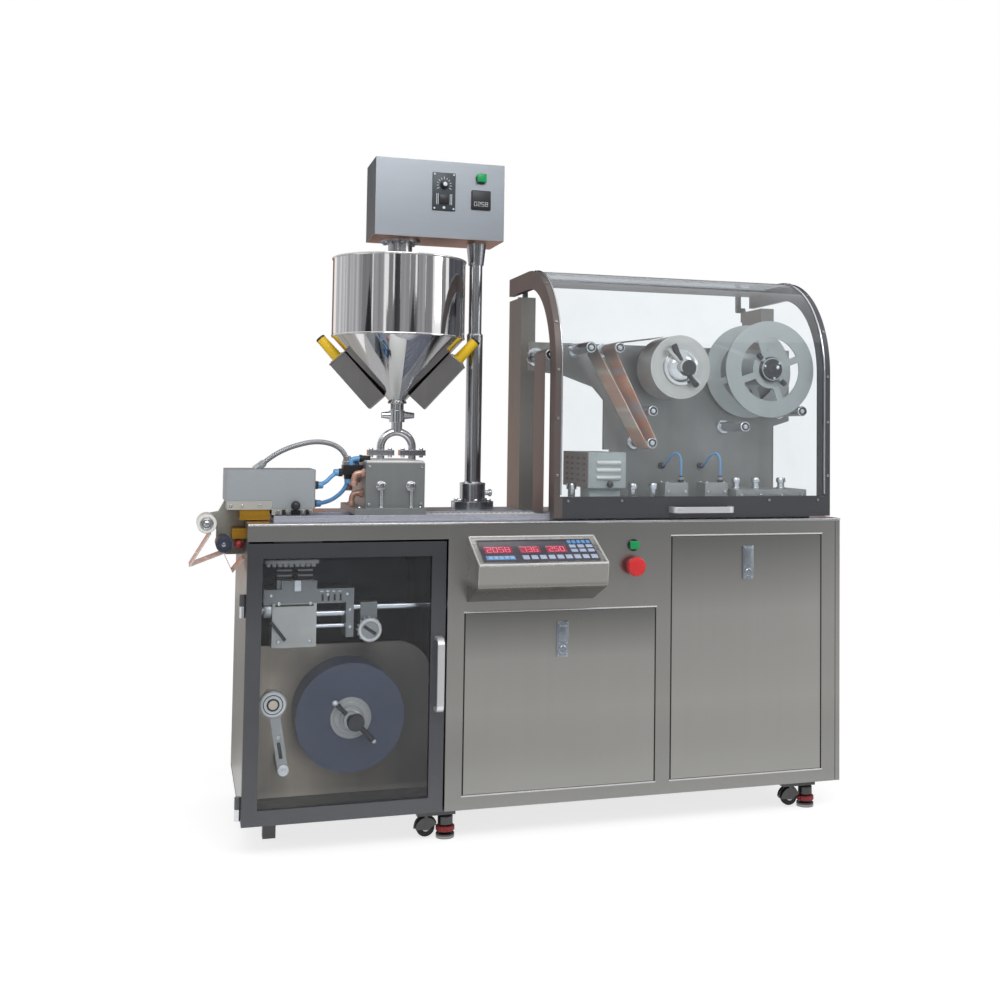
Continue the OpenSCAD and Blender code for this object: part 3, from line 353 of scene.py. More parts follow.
# %% Group: worn edges
edges_group, given, outlet = new_group(
    "worn_edges", {"Vector": "Vector", "Radius": "Float"}, {"Mask": "Float", "Normal": "Vector"})
rounded = put(edges_group, "Bevel", {"Radius": given["Radius"]}, samples=4).outputs[0]
flat = put(edges_group, "NewGeometry").outputs["Normal"]
match = vectors(edges_group, "DOT_PRODUCT", rounded, flat)["Value"]
chips = noise(edges_group, given["Vector"], 60.0, 3.0)
turned_away = ranged(edges_group, match, 1.0, 0.0, 0.8, 0.985)
rubbed = times(edges_group, turned_away, ranged(edges_group, chips, 0.3, 1.0, 0.35, 0.6))
wire(edges_group, outlet, {"Mask": rubbed, "Normal": rounded})
print("group:", edges_group.name)

# %% [markdown]
# Dust settles on what faces up. The group compares the surface's direction with
# straight up and thins the result with a noise.

# %% Group: settled dust
dust_group, given, outlet = new_group("settled_dust", {"Vector": "Vector"}, {"Mask": "Float"})
facing = xyz(dust_group, put(dust_group, "NewGeometry").outputs["Normal"])["Z"]
specks = noise(dust_group, given["Vector"], 35.0, 6.0)
upward = ranged(dust_group, facing, 0.0, 1.0, 0.5, 0.95)
dusty = times(dust_group, upward, ranged(dust_group, specks, 0.0, 1.0, 0.4, 0.7))
wire(dust_group, outlet, {"Mask": dusty})
print("group:", dust_group.name)

# %% [markdown]
# Most of the machine is metal, paint or moulded plastic, which differ in colour,
# gloss and grain but are built alike: a base colour varied by grain and marks,
# lighter edges, and a fine bump. One function makes such a finish from its values.

# %% Function for metal, paint and plastic
EVEN = (260, 260, 260)
LONGWAYS = (9, 700, 700)
UPRIGHT = (900, 900, 3)
DUST_COLOUR = (176, 172, 164)
GRAIN_DEPTH = 0.0004


def start_finish(name):
    material = bpy.data.materials.new(name)
    material.use_nodes = True
    FINISHES[name] = material
    tree = material.node_tree
    return tree, tree.nodes["Principled BSDF"], put(tree, "TexCoord").outputs["Object"]


def shaded(colour, factor):
    return tuple(min(1.0, c * factor) for c in colour[:3]) + (1,)


def surface(name, colour, metal=1.0, rough=0.3, stretch=LONGWAYS, grain=0.12, band=0.06, marks=0.08,
            mark_scale=3.0, edge=0.4, edge_mm=1.0, bump=0.08, dust=0.0):
    tree, shader, where = start_finish(name)
    base = tone(*colour)
    lines = use(tree, grain_group, Vector=where, Stretch=stretch)
    cloudy = use(tree, marks_group, Vector=where, Scale=mark_scale)["Mask"]
    rim = use(tree, edges_group, Vector=where, Radius=edge_mm / 1000)
    paint = mixed(tree, lines["Streak"], shaded(base, 1 - grain), shaded(base, 1 + grain))
    paint = mixed(tree, times(tree, lines["Band"], band), paint, shaded(base, 0.45))
    paint = mixed(tree, times(tree, cloudy, marks), paint, shaded(base, 0.55))
    paint = mixed(tree, times(tree, rim["Mask"], edge), paint, shaded(base, 1.7))
    if dust:
        powder = use(tree, dust_group, Vector=where)["Mask"]
        paint = mixed(tree, times(tree, powder, dust), paint, tone(*DUST_COLOUR))
    along_lines = ranged(tree, lines["Streak"], rough * (1 - grain), rough * (1 + grain))
    gloss = maths(tree, "ADD", along_lines, times(tree, cloudy, rough * marks * 2))
    height = bump_from(tree, lines["Streak"], bump, GRAIN_DEPTH, Normal=rim["Normal"])
    wire(tree, shader, {"Base Color": paint, "Roughness": gloss, "Normal": height, "Metallic": metal})
    return tree, shader, where


def overlay(tree, shader, mask, colour):
    """Lays a colour over a finish where a mask is 1."""
    under = shader.inputs["Base Color"].links[0].from_socket
    wire(tree, shader, {"Base Color": mixed(tree, mask, under, tone(*colour))})


print("surface() draws grain along", LONGWAYS, "or", UPRIGHT)

# %% [markdown]
# The cabinet is brushed stainless sheet with a warm grey cast. Its panels are
# brushed up and down, the top lengthways. Broad steel shows slow changes of tone,
# from what it mirrors, and here they are painted shade. An image could hold them, but a
# mask on the place needs none: panels and fascia darken towards the top and the foot.

# %% Finishes: panels, fascia and worktop
tree, shader, where = surface(
    "panel_steel", (204, 203, 200), stretch=UPRIGHT, grain=0.012, band=0.03, marks=0.06, mark_scale=2.2,
    bump=0.01)
# Painted shade: the panels darken towards their tops and towards the foot.
spot = xyz(tree, where)
on_right = maths(tree, "GREATER_THAN", spot["X"], 0.32)
short_panel = ranged(tree, spot["Z"], 0.0, 0.6, 0.42, 0.53)
tall_panel = ranged(tree, spot["Z"], 0.0, 0.6, 0.52, 0.7)
shade = put(tree, "Mix", {0: on_right, 2: short_panel, 3: tall_panel}, data_type="FLOAT").outputs[0]
overlay(tree, shader, shade, (98, 99, 97))
overlay(tree, shader, ranged(tree, spot["Z"], 0.65, 0.0, 0.12, 0.3), (138, 138, 135))

tree, shader, where = surface(
    "fascia_steel", (196, 195, 192), rough=0.28, stretch=UPRIGHT, grain=0.012, band=0.03, marks=0.06,
    bump=0.01, edge=0.6)
spot = xyz(tree, where)
# Painted shade: the fascia darkens towards its top and towards the foot.
overlay(tree, shader, ranged(tree, spot["Z"], 0.0, 0.4, 0.5, 0.72), (126, 127, 128))
overlay(tree, shader, ranged(tree, spot["Z"], 0.8, 0.0, 0.1, 0.3), (132, 132, 130))

surface("top_steel", (196, 196, 198), rough=0.22, grain=0.06, marks=0.2, edge=0.8, edge_mm=2.0, dust=0.15)
print("cabinet finishes:", len(FINISHES))

# %% [markdown]
# The console, the boxes and the bay's partition are sheet too. The drive box reads
# bluer, and the partition is painted dark as painted shade. Masks paint shade on the
# console below its lip and on the drive box's left end, and a warm painted reflection
# on its underside, without splitting the solids' faces.

# %% Finishes: console, boxes and bay shade
tree, shader, where = surface(
    "console_steel", (204, 202, 198), rough=0.26, grain=0.01, band=0.03, edge=0.02, edge_mm=6.0, bump=0.005)
# Painted shade: the console darkens below its lip.
overlay(tree, shader, ranged(tree, xyz(tree, where)["Z"], 0.8, 0.0, 0.598, 0.616), (86, 84, 80))

tree, shader, where = surface(
    "drive_sheet", (167, 173, 180), rough=0.34, grain=0.025, band=0.05, edge=0.5, edge_mm=1.2)
spot = xyz(tree, where)
# Painted shade on the left end; a warm painted reflection on the underside.
overlay(tree, shader, maths(tree, "LESS_THAN", spot["X"], -0.385), (104, 110, 115))
overlay(tree, shader, maths(tree, "LESS_THAN", spot["Z"], 1.459), (206, 152, 126))

surface("box_steel", (150, 148, 148), rough=0.32, stretch=UPRIGHT, grain=0.06, edge=0.5)
surface("base_steel", (92, 92, 92), rough=0.42, grain=0.1, marks=0.25, dust=0.2)
surface("bed_steel", (160, 164, 170), metal=0.45, rough=0.28, grain=0.08, marks=0.2, edge=0.6, dust=0.1)
surface("feeder_steel", (136, 140, 141), metal=0.5, rough=0.36, stretch=UPRIGHT, grain=0.06, marks=0.15,
        edge=0.6)
# The partition's dark is painted shade.
surface("painted_bay_shade", (36, 41, 50), metal=0.3, rough=0.5, stretch=UPRIGHT, grain=0.1, marks=0.2)
print("steel sheet finishes:", len(FINISHES))

# %% [markdown]
# The side and back sheets are brushed outside. Inside, where the bay is, they are
# painted dark: painted shade. Two materials would need the solid's faces to be sorted,
# so the place on the sheet tells the sides apart: a mask is 1 short of the outer faces.

# %% Finish: cabinet shell
tree, shader, where = surface(
    "shell_steel", (146, 145, 141), rough=0.34, stretch=UPRIGHT, grain=0.02, band=0.04, mark_scale=2.2)
spot = xyz(tree, where)
# Painted shade: the faces inside the bay are painted dark.
inside = maths(tree, "LESS_THAN", spot["Y"], 0.335)
for test, edge_at in (("GREATER_THAN", -0.683), ("LESS_THAN", 0.808)):
    inside = times(tree, inside, maths(tree, test, spot["X"], edge_at))
overlay(tree, shader, inside, (32, 37, 46))
print("shell finish made")

# %% [markdown]
# Chromed and polished parts mirror the room, so they are smooth and nearly white.
# Machined and cast parts are duller. Parts that work in the shade of the bay or
# the hood are given less metal: the paler they stay, the better their shapes read.

# %% Finishes: bright and machined metal
surface("mirror_steel", (226, 226, 226), rough=0.06, stretch=(160, 160, 6), grain=0.02, band=0.05, marks=0.05,
        edge=0.3, bump=0.02)
surface("bright_steel", (214, 216, 220), rough=0.16, stretch=UPRIGHT, grain=0.05, edge=0.5)
surface("dull_chrome", (180, 182, 185), rough=0.2, stretch=UPRIGHT, grain=0.05, marks=0.12, edge=0.5)
surface("handle_metal", (226, 227, 230), metal=0.7, rough=0.34, stretch=EVEN, grain=0.01, marks=0.03,
        edge=0.1, edge_mm=3.0, bump=0.0)
surface("machined", (168, 169, 170), marks=0.15, edge=0.7, dust=0.1)
surface("plate_casting", (146, 146, 144), metal=0.85, rough=0.42, stretch=UPRIGHT, grain=0.06, band=0.16,
        marks=0.25)
surface("bench_metal", (160, 161, 160), metal=0.5, rough=0.32, grain=0.08, marks=0.2, edge=0.8, dust=0.1)
surface("track_metal", (190, 193, 206), metal=0.3, rough=0.24, band=0.4, marks=0.3, mark_scale=9.0, edge=0.6)
surface("pale_metal", (214, 215, 215), metal=0.35, rough=0.28, stretch=EVEN, grain=0.05, marks=0.12, edge=0.5)
surface("latch_metal", (172, 180, 190), stretch=EVEN, grain=0.06, marks=0.2, edge=0.7)
surface("copper_fitting", (202, 160, 142), metal=0.5, rough=0.32, stretch=EVEN, grain=0.05, marks=0.15,
        edge=0.5)
surface("brass", (206, 156, 62), marks=0.3)

tree, shader, where = surface(
    "carriage_metal", (182, 182, 178), metal=0.5, rough=0.34, stretch=EVEN, grain=0.05, marks=0.25,
    mark_scale=9.0, edge=0.9)
# Painted shade: the carriage's right plates and its upper part are darkened.
spot = xyz(tree, where)
on_right = maths(tree, "GREATER_THAN", spot["X"], -0.459)
plates = times(tree, on_right, maths(tree, "GREATER_THAN", spot["Z"], 0.45))
columns = maths(tree, "GREATER_THAN", spot["Z"], 0.5575)
overlay(tree, shader, maths(tree, "MAXIMUM", plates, columns), (126, 129, 130))
print("finishes:", len(FINISHES))

# %% [markdown]
# Paint shows its own colour, and masks on the place paint shade on it: the door's top,
# the hood's top rail, the mount plate's far side with a painted shadow round the film
# roll, and the left side of the louvred box, warm as a painted reflection. The hood's
# left end gets painted light, warm as well.

# %% Finishes: paint
FRAME_PAINT = dict(metal=0.45, rough=0.36, stretch=EVEN, grain=0.06, band=0.1, marks=0.12, edge=0.35)
ROLL_ON_PLATE = (-0.43, 0, 0.305)


def from_axis(tree, where, centre):
    """How far a point lies from an axis along Y."""
    apart = vectors(tree, "SUBTRACT", where, centre)[0]
    level = vectors(tree, "MULTIPLY", apart, (1, 0, 1))[0]
    return vectors(tree, "LENGTH", level)["Value"]


tree, shader, where = surface("door_paint", (92, 94, 98), **FRAME_PAINT)
# Painted shade: the door darkens towards its top.
overlay(tree, shader, ranged(tree, xyz(tree, where)["Z"], 0.0, 0.6, 0.5, 0.66), (52, 54, 58))

tree, shader, where = surface("frame_paint", (80, 82, 87), **FRAME_PAINT)
spot = xyz(tree, where)
# Painted shade on the hood's top rail; painted light, warm, on its left end.
behind = maths(tree, "GREATER_THAN", spot["Y"], 0.147)
rail = times(tree, maths(tree, "GREATER_THAN", spot["Z"], 1.372), behind)
overlay(tree, shader, rail, (62, 56, 66))
overlay(tree, shader, maths(tree, "LESS_THAN", spot["X"], 0.058), (106, 98, 96))

surface("post_paint", (122, 120, 116), metal=0.5, rough=0.36, stretch=UPRIGHT, grain=0.06, marks=0.15)
surface("cover_paint", (151, 157, 162), metal=0.0, rough=0.42, stretch=EVEN, grain=0.03, marks=0.1, edge=0.15,
        edge_mm=3.0)

tree, shader, where = surface(
    "mount_paint", (222, 208, 190), metal=0.1, rough=0.46, stretch=UPRIGHT, grain=0.04, band=0.15, marks=0.3,
    bump=0.02)
# Painted shade on the plate's far side, and a painted shadow round the film roll.
overlay(tree, shader, ranged(tree, xyz(tree, where)["X"], 0.0, 0.9, -0.52, -0.3), (88, 87, 85))
roll_shadow = ranged(tree, from_axis(tree, where, ROLL_ON_PLATE), 0.75, 0.0, 0.125, 0.19)
overlay(tree, shader, roll_shadow, (70, 68, 66))

tree, shader, where = surface(
    "louvre_paint", (166, 174, 174), metal=0.0, rough=0.4, stretch=EVEN, grain=0.03, marks=0.15, edge=0.2)
# Painted shade on the box's left side, warm as a painted reflection.
overlay(tree, shader, maths(tree, "LESS_THAN", xyz(tree, where)["X"], 0.143), (118, 102, 98))
print("finishes:", len(FINISHES))

# %% [markdown]
# Moulded plastic has an even grain and no metal, and so has the bracket's thick
# paint. What is left to choose fits in a table: the colour, then the roughness, and
# how far grain, marks and rubbed edges show. The keypad's red numbers glow a little,
# as lit displays do. The pale marks on the drive box glow as well: painted light.

# %% Finishes: plastic and rubber
PLASTICS = {
    "bracket_paint": ((176, 175, 168), 0.45, 0.08, 0.3, 0.5),
    "keypad_film": ((70, 68, 78), 0.3, 0.04, 0.1, 0.1),
    "key_blue": ((98, 160, 220), 0.3, 0.05, 0.1, 0.1),
    "key_pale": ((176, 190, 214), 0.3, 0.05, 0.1, 0.1),
    "window_dark": ((172, 62, 88), 0.15, 0.05, 0.05, 0.0),
    "red_digit": ((238, 122, 142), 0.3, 0.05, 0.05, 0.0),
    "pale_digit": ((190, 196, 200), 0.3, 0.05, 0.05, 0.0),
    "green_cap": ((16, 150, 84), 0.24, 0.03, 0.05, 0.2),
    "dark_red": ((142, 30, 36), 0.34, 0.06, 0.15, 0.3),
    "red_cap": ((206, 40, 44), 0.3, 0.03, 0.08, 0.2),
    "yellow_grip": ((238, 196, 22), 0.32, 0.04, 0.12, 0.15),
    "black_plastic": ((36, 37, 40), 0.34, 0.08, 0.1, 0.5),
    "white_plastic": ((222, 222, 218), 0.4, 0.03, 0.12, 0.1),
    "reel_plastic": ((163, 168, 167), 0.38, 0.03, 0.12, 0.3),
    "hose_blue": ((104, 164, 216), 0.28, 0.05, 0.15, 0.0),
}
GLOW = 0.25
for name, (colour, rough, grain, marks, edge) in PLASTICS.items():
    tree, shader, _ = surface(
        name, colour, metal=0.0, rough=rough, stretch=EVEN, grain=grain, marks=marks, edge=edge)
    # Both digit finishes glow; on the drive box's pale ticks, screws and digits the glow is painted light.
    if name.endswith("digit"):
        wire(tree, shader, {"Emission Color": tone(*colour), "Emission Strength": GLOW})
surface("tyre_rubber", (30, 30, 31), metal=0.0, rough=0.75, stretch=EVEN, marks=0.3, dust=0.3)
surface("plate_dark", (62, 70, 74), metal=0.3, rough=0.4, stretch=EVEN, grain=0.05, marks=0.1, edge=0.3)
print("finishes:", len(FINISHES))

# %% [markdown]
# The clear sheets are acrylic. A plain Principled shader with Transmission is
# enough; only its roughness is smeared a little where hands wipe it. The thin film
# lets less light through. All of them cast no shadow, so that the light reaches what
# they cover without noise.

# %% Finishes: clear sheet and film
def clear(name, colour, rough, smear, mark_scale, ior, through=1.0):
    tree, shader, where = start_finish(name)
    tint = tone(*colour)
    cloudy = use(tree, marks_group, Vector=where, Scale=mark_scale)["Mask"]
    wire(tree, shader, {
        "Roughness": ranged(tree, cloudy, rough, rough + smear),
        "Base Color": mixed(tree, cloudy, tint, shaded(tint, 0.94)),
        "Transmission Weight": through,
        "IOR": ior,
    })


clear("hood_acrylic", (240, 245, 248), 0.0, 0.02, 4.0, ior=1.58)
clear("door_acrylic", (230, 234, 238), 0.0, 0.0, 3.0, ior=1.36)
clear("clear_film", (226, 218, 216), 0.08, 0.1, 30.0, ior=1.2, through=0.45)
clear("formed_web", (206, 213, 232), 0.18, 0.15, 40.0, ior=1.3, through=0.45)
print("clear finishes made")

# %% [markdown]
# A steel braid is two sets of wires that wind round the hose in opposite ways.
# Modelled wires would be thousands of faces, so two stripe patterns on the hose's
# turn and length cross at a slant, and the higher of the two shows.

# %% Finish: braided hose
WIRES_ROUND, WIRES_PER_MM = 6.0, 0.16
tree, shader, where = start_finish("steel_braid")
turn_run = xyz(tree, put(tree, "UVMap").outputs[0])
pitch = times(tree, turn_run["Y"], WIRES_PER_MM)
wires = []
for way in (1, -1):
    lean = times(tree, turn_run["X"], WIRES_ROUND * way)
    wave = maths(tree, "SINE", times(tree, maths(tree, "ADD", lean, pitch), 2 * math.pi))
    wires.append(ranged(tree, wave, 0.0, 1.0, -0.6, 1.0))
woven = maths(tree, "MAXIMUM", *wires)
wire(tree, shader, {
    "Base Color": mixed(tree, woven, tone(78, 80, 84), tone(182, 184, 188)),
    "Roughness": ranged(tree, woven, 0.55, 0.3),
    "Normal": bump_from(tree, woven, 0.6, 0.0008),
    "Metallic": 0.7,
})
print("braid made")

# %% [markdown]
# Five hoses hang between fittings. Each is a tube with a real length and diameter,
# and both its ends go into the machine. The routes are those of the solids that they
# stand for, with a smooth curve through the points.

# %% Hoses
TOP = 750
HOOD_X, TUBE_STEP = 724, 112
BRAID_ROUTE = [
    (40, 150, 134), (52, 150, 144), (66, 150, 154), (82, 150, 163), (100, 150, 171), (118, 150, 177),
    (137, 150, 182), (156, 150, 185), (175, 150, 185), (193, 150, 182), (209, 150, 176), (222, 150, 167),
    (231, 150, 155), (236, 150, 143), (237, 150, 136)]
BLUE_ROUTE = [
    (162, 170, 36), (172, 170, 36), (183, 169, 38), (194, 168, 41), (205, 166, 46), (215, 163, 53),
    (224, 160, 61), (231, 157, 70), (236, 153, 80), (239, 151, 90), (240, 150, 100)]
SHORT_ROUTE = [
    (160, 130, 82), (170, 130, 83), (180, 131, 87), (189, 133, 93), (197, 136, 101), (205, 139, 107),
    (213, 141, 111), (222, 142, 112)]
TUBE_ROUTE = [
    (356, 200, 130), (356, 190, 131), (356, 180, 136), (357, 170, 143), (359, 161, 151), (362, 153, 158),
    (366, 146, 163), (371, 140, 164), (376, 135, 160), (379, 132, 152), (380, 130, 142), (380, 130, 130),
    (380, 130, 116), (380, 130, 102)]


def hose(name, node, route, shift_x, diameter, finish):
    path = smooth_path([(x + shift_x, y, z + TOP) for x, y, z in route])
    bm = bmesh.new()
    tube(bm, path, diameter / 2)
    made = piece(name, bm, finish, stands_for=[node])


hose("heater_braid", "braided_hose", BRAID_ROUTE, 0, 12, "steel_braid")
hose("cooling_hose", "blue_hose", BLUE_ROUTE, 0, 10, "hose_blue")
hose("heater_hose", "short_hose", SHORT_ROUTE, 0, 10, "hose_blue")
hose("front_air_tube", "front_tube", TUBE_ROUTE, HOOD_X, 6, "hose_blue")
hose("rear_air_tube", "rear_tube", TUBE_ROUTE, HOOD_X + TUBE_STEP, 6, "hose_blue")

# %% [markdown]
# The light is a plain studio: a soft world, a large lamp over the front and a
# weaker one from the right. The world looks white to the camera, in mirrors and
# through clear sheets, while a weaker light falls on things.

# %% World and lamps
WHITE = (1.0, 1.0, 1.0, 1)
scene.view_settings.view_transform = "Standard"
world = bpy.data.worlds.new("studio")
scene.world = world
world.use_nodes = True
sky = world.node_tree
sky.nodes.clear()


def seen_directly(tree):
    """1 for camera, mirror and clear-sheet rays, 0 for the light that falls on things."""
    path = put(tree, "LightPath").outputs
    two = maths(tree, "MAXIMUM", path["Is Camera Ray"], path["Is Glossy Ray"])
    return maths(tree, "MAXIMUM", two, path["Is Transmission Ray"])


ambient = put(sky, "Background", {"Color": WHITE, "Strength": 0.62})
backdrop = put(sky, "Background", {"Color": WHITE, "Strength": 1.0})
both = put(sky, "MixShader", {0: seen_directly(sky), 1: ambient.outputs[0], 2: backdrop.outputs[0]})
put(sky, "OutputWorld", {"Surface": both.outputs[0]})


def lamp(name, spot, aim, size, watts):
    data = bpy.data.lights.new(name, "AREA")
    data.shape = "RECTANGLE"
    data.size, data.size_y = size
    data.energy = watts
    obj = bpy.data.objects.new(name, data)
    scene.collection.objects.link(obj)
    obj.location = spot
    obj.rotation_mode = "QUATERNION"
    obj.rotation_quaternion = (Vector(aim) - Vector(spot)).to_track_quat("-Z", "Y")


lamp("front_soft_lamp", (-0.6, -3.0, 3.4), (0, 0, 0.7), (3.2, 1.6), 70)
lamp("right_soft_lamp", (3.2, -1.6, 2.6), (0.2, 0, 0.8), (1.6, 2.2), 26)
print("lamps:", len(bpy.data.lights))

# %% [markdown]
# The floor is pale and takes the machine's shadow. A share of it glows white to
# the camera and in mirrors, so that it runs into the backdrop without an edge.

# %% Floor
FLOOR_HALF, FLOOR_GLOW, FLOOR_SHARE = 12, 1.36, 0.55


def sheet(name, corners):
    mesh = bpy.data.meshes.new(name)
    mesh.from_pydata(corners, [], [range(len(corners))])
    obj = bpy.data.objects.new(name, mesh)
    scene.collection.objects.link(obj)
    return obj


def oblong(x0, x1, y0, y1, z=0):
    return [(x0, y0, z), (x1, y0, z), (x1, y1, z), (x0, y1, z)]


floor = sheet("floor", oblong(-FLOOR_HALF, FLOOR_HALF, -FLOOR_HALF, FLOOR_HALF))
pale = bpy.data.materials.new("pale_floor")
pale.use_nodes = True
ground = pale.node_tree
matte = ground.nodes["Principled BSDF"]
wire(ground, matte, {"Base Color": (0.86, 0.86, 0.86, 1), "Roughness": 0.9})
white = put(ground, "Emission", {"Color": WHITE, "Strength": FLOOR_GLOW})
share = times(ground, seen_directly(ground), FLOOR_SHARE)
glow = put(ground, "MixShader", {0: share, 1: matte.outputs[0], 2: white.outputs[0]})
wire(ground, ground.nodes["Material Output"], {"Surface": glow.outputs[0]})
floor.data.materials.append(pale)
print("floor:", 2 * FLOOR_HALF, "m wide")

# %% [markdown]
# Polished steel looks like what stands round it. So cards stand outside the
# picture, seen only in reflections: walls, a grey flag on the floor in front and one
# behind, a row of upright strips for the hopper, and two dark pointed shapes. A
# studio uses flags like these to give metal something to show.

# %% Cards
FLAG_Z = 0.004
CARD_GRAIN = (2.4, 2.4, 0.15)
CARD_MID_X = -0.3
BACK_CORNER, BACK_LEFT, BACK_RIGHT = (0, 4.61), (-2.24, 5.3), (4.26, 3.31)
STRIPS = (
    (-131, 2.2, 206), (-108, 1.1, 190), (-88, 1.9, 180), (-66, 1.4, 142), (-45, 1.4, 156), (-24, 0.55, 128),
    (-13, 0.7, 72), (0, 1.15, 150), (13, 0.65, 138), (28, 1.1, 150), (43, 1.0, 142), (72, 0.7, 130))


def card(name, corners, colour):
    obj = sheet(name, corners)
    material = bpy.data.materials.new(name)
    material.use_nodes = True
    tree = material.node_tree
    tree.nodes.clear()
    base = tone(*colour)
    drawn = vectors(tree, "MULTIPLY", put(tree, "NewGeometry").outputs["Position"], CARD_GRAIN)[0]
    uneven = ranged(tree, noise(tree, drawn, 1.0, 4.0), 0.0, 1.0, 0.35, 0.65)
    hue = mixed(tree, uneven, shaded(base, 0.72), shaded(base, 1.3))
    flag = put(tree, "Emission", {"Color": hue, "Strength": 1.0})
    put(tree, "OutputMaterial", {"Surface": flag.outputs[0]})
    obj.data.materials.append(material)
    obj.visible_camera = False
    obj.visible_diffuse = False
    obj.visible_transmission = False
    obj.visible_shadow = False


def standing(name, bearing, distance, wide, outline, colour):
    """A card seen from the hopper at a bearing: 0 is the front, 90 the right."""
    a = math.radians(bearing)
    centre = Vector((CARD_MID_X + distance * math.sin(a), -distance * math.cos(a), 0))
    side = Vector((math.cos(a), math.sin(a), 0)) * wide / 2
    card(name, [centre + side * u + Vector((0, 0, h)) for u, h in outline], colour)


def upright(low, high):
    return (-1, low), (1, low), (1, high), (-1, high)


def pointed(peak, low=0.6, shoulder=1.5):
    """An outline that narrows to a point, for the dark shapes in the hopper's mirror."""
    rise = peak - shoulder
    top = (0.5, shoulder + 0.65 * rise), (0.1, peak), (-0.4, shoulder + 0.5 * rise)
    return (-1, low), (1, low), (1, shoulder), *top, (-1, shoulder)


def wall(name, start, end, low, high, colour):
    """A card between two points on the floor plan."""
    card(name, [(*start, low), (*end, low), (*end, high), (*start, high)], colour)


standing("front_wall", 4, 6.5, 9.0, upright(0.02, 2.0), (108, 108, 107))
wall("back_wall_left", BACK_CORNER, BACK_LEFT, 0.02, 1.3, (196, 146, 124))
wall("back_wall_right", BACK_RIGHT, BACK_CORNER, 0.02, 1.3, (150, 152, 158))
standing("back_wall_high", 163, 4.5, 6.8, upright(1.3, 2.3), (148, 112, 100))
standing("back_wall_top", 163, 4.5, 6.8, upright(2.3, 7.0), (66, 60, 68))
standing("right_wall", 112, 4.6, 4.8, upright(0.02, 3.2), (84, 86, 92))
card("back_floor_flag", oblong(-4, 3, 0.6, 4.4, FLAG_Z), (176, 173, 169))
card("floor_flag", oblong(-3.2, 3.6, -6.6, -0.72, FLAG_Z), (182, 182, 181))
for bearing, wide, level in STRIPS:
    standing(f"strip_{bearing + 90}", bearing, 4.2, wide, upright(0.6, 3.6), (level, level, level + 3))
standing("flame_left", -62, 4.0, 0.9, pointed(1.82), (52, 52, 58))
standing("flame_right", 13.5, 4.0, 0.6, pointed(1.76), (58, 58, 64))
print("cards stand, strips among them:", len(STRIPS))

# %% [markdown]
# Fasteners and knobs come again and again. A hex head is a turned shape with six
# sides, a socket screw has a hole turned into its head, and a ball knob is an arc
# turned on a neck. Arms that clamp a reel are turned too, and leave it at an angle.

# %% Helpers for bolts and knobs
def hex_bolt(bm, base, along, radius=5.0, height=5.0):
    head = [(0, 0), (radius, 0), (radius, height * 0.7), (radius * 0.82, height), (0, height)]
    turned(bm, base, along, head, 6)


def cap_screw(bm, base, along, radius=4.0, height=4.0):
    head = [(0, 0), (radius, 0), (radius, height * 0.8), (radius * 0.85, height)]
    socket = [(radius * 0.5, height), (radius * 0.45, height * 0.4), (0, height * 0.4)]
    turned(bm, base, along, head + socket, 20)


def ball_knob(bm, base, along, radius, neck):
    """A ball on a short neck, pointing along its axis."""
    angles = [math.pi * k / 8 for k in range(1, 8)]
    ball = [(radius * math.sin(a), neck + radius - radius * math.cos(a)) for a in angles]
    stem = [(0, 0), (radius * 0.55, 0), (radius * 0.5, neck * 0.8)]
    turned(bm, base, along, [*stem, *ball, (0, neck + 2 * radius)], 24)


def lever_arm(bm, x, y, z, bearing, start, reach, radius):
    """A round arm that leaves a hub at a bearing in the X-Z plane, with a swelled end."""
    a = math.radians(bearing)
    shaft = [(0, start), (radius * 0.9, start), (radius * 0.8, reach * 0.6)]
    end = [(radius, reach - 8), (radius, reach - 2), (radius * 0.7, reach), (0, reach)]
    turned(bm, (x, y, z), (math.cos(a), 0, math.sin(a)), shaft + end, 20)


def row_of_screws(bm, xs, y, zs, radius, height):
    """Socket screws in rows on a front face."""
    for x in xs:
        for z in zs:
            cap_screw(bm, (x, y, z), "front", radius, height)


print("fastener helpers ready")

# %% [markdown]
# The console's sloping face holds the keypad: three red number displays, a bright
# strip and rows of keys under one film. A picture of it would be an image, so keys
# and numbers are thin bars. A matrix carries flat millimetres on the keypad to the
# slope, so that everything is drawn as on paper.

# %% Numbers
CONSOLE_X, CONSOLE_W, CONSOLE_TOP = 507, 315, 714
CONSOLE_RUN, CONSOLE_RISE = 120, 56
SLOPE = math.atan2(CONSOLE_RISE, CONSOLE_RUN)
KEY_RUN = CONSOLE_RUN / math.cos(SLOPE)
KEY_EDGE = 16
KEY_W, KEY_H = CONSOLE_W - 2 * KEY_EDGE, KEY_RUN - 2 * KEY_EDGE
KEY_FOOT = KEY_EDGE - KEY_RUN
KEYPAD = Matrix.Translation(
    (CONSOLE_X + KEY_EDGE, KEY_FOOT * math.cos(SLOPE), CONSOLE_TOP + KEY_FOOT * math.sin(SLOPE)))
KEYPAD = KEYPAD @ Matrix.Rotation(SLOPE, 4, "X")
SEGMENTS = {
    "a": (0, 1, 1, 1), "b": (1, 0.5, 1, 1), "c": (1, 0, 1, 0.5), "d": (0, 0, 1, 0),
    "e": (0, 0, 0, 0.5), "f": (0, 0.5, 0, 1), "g": (0, 0.5, 1, 0.5)}
NUMBERS = {"0": "abcdef", "1": "bc", "2": "abdeg", "3": "abcdg", "5": "acdfg", "6": "acdefg", "8": "abcdefg"}
DIGIT_STEP = 1.55


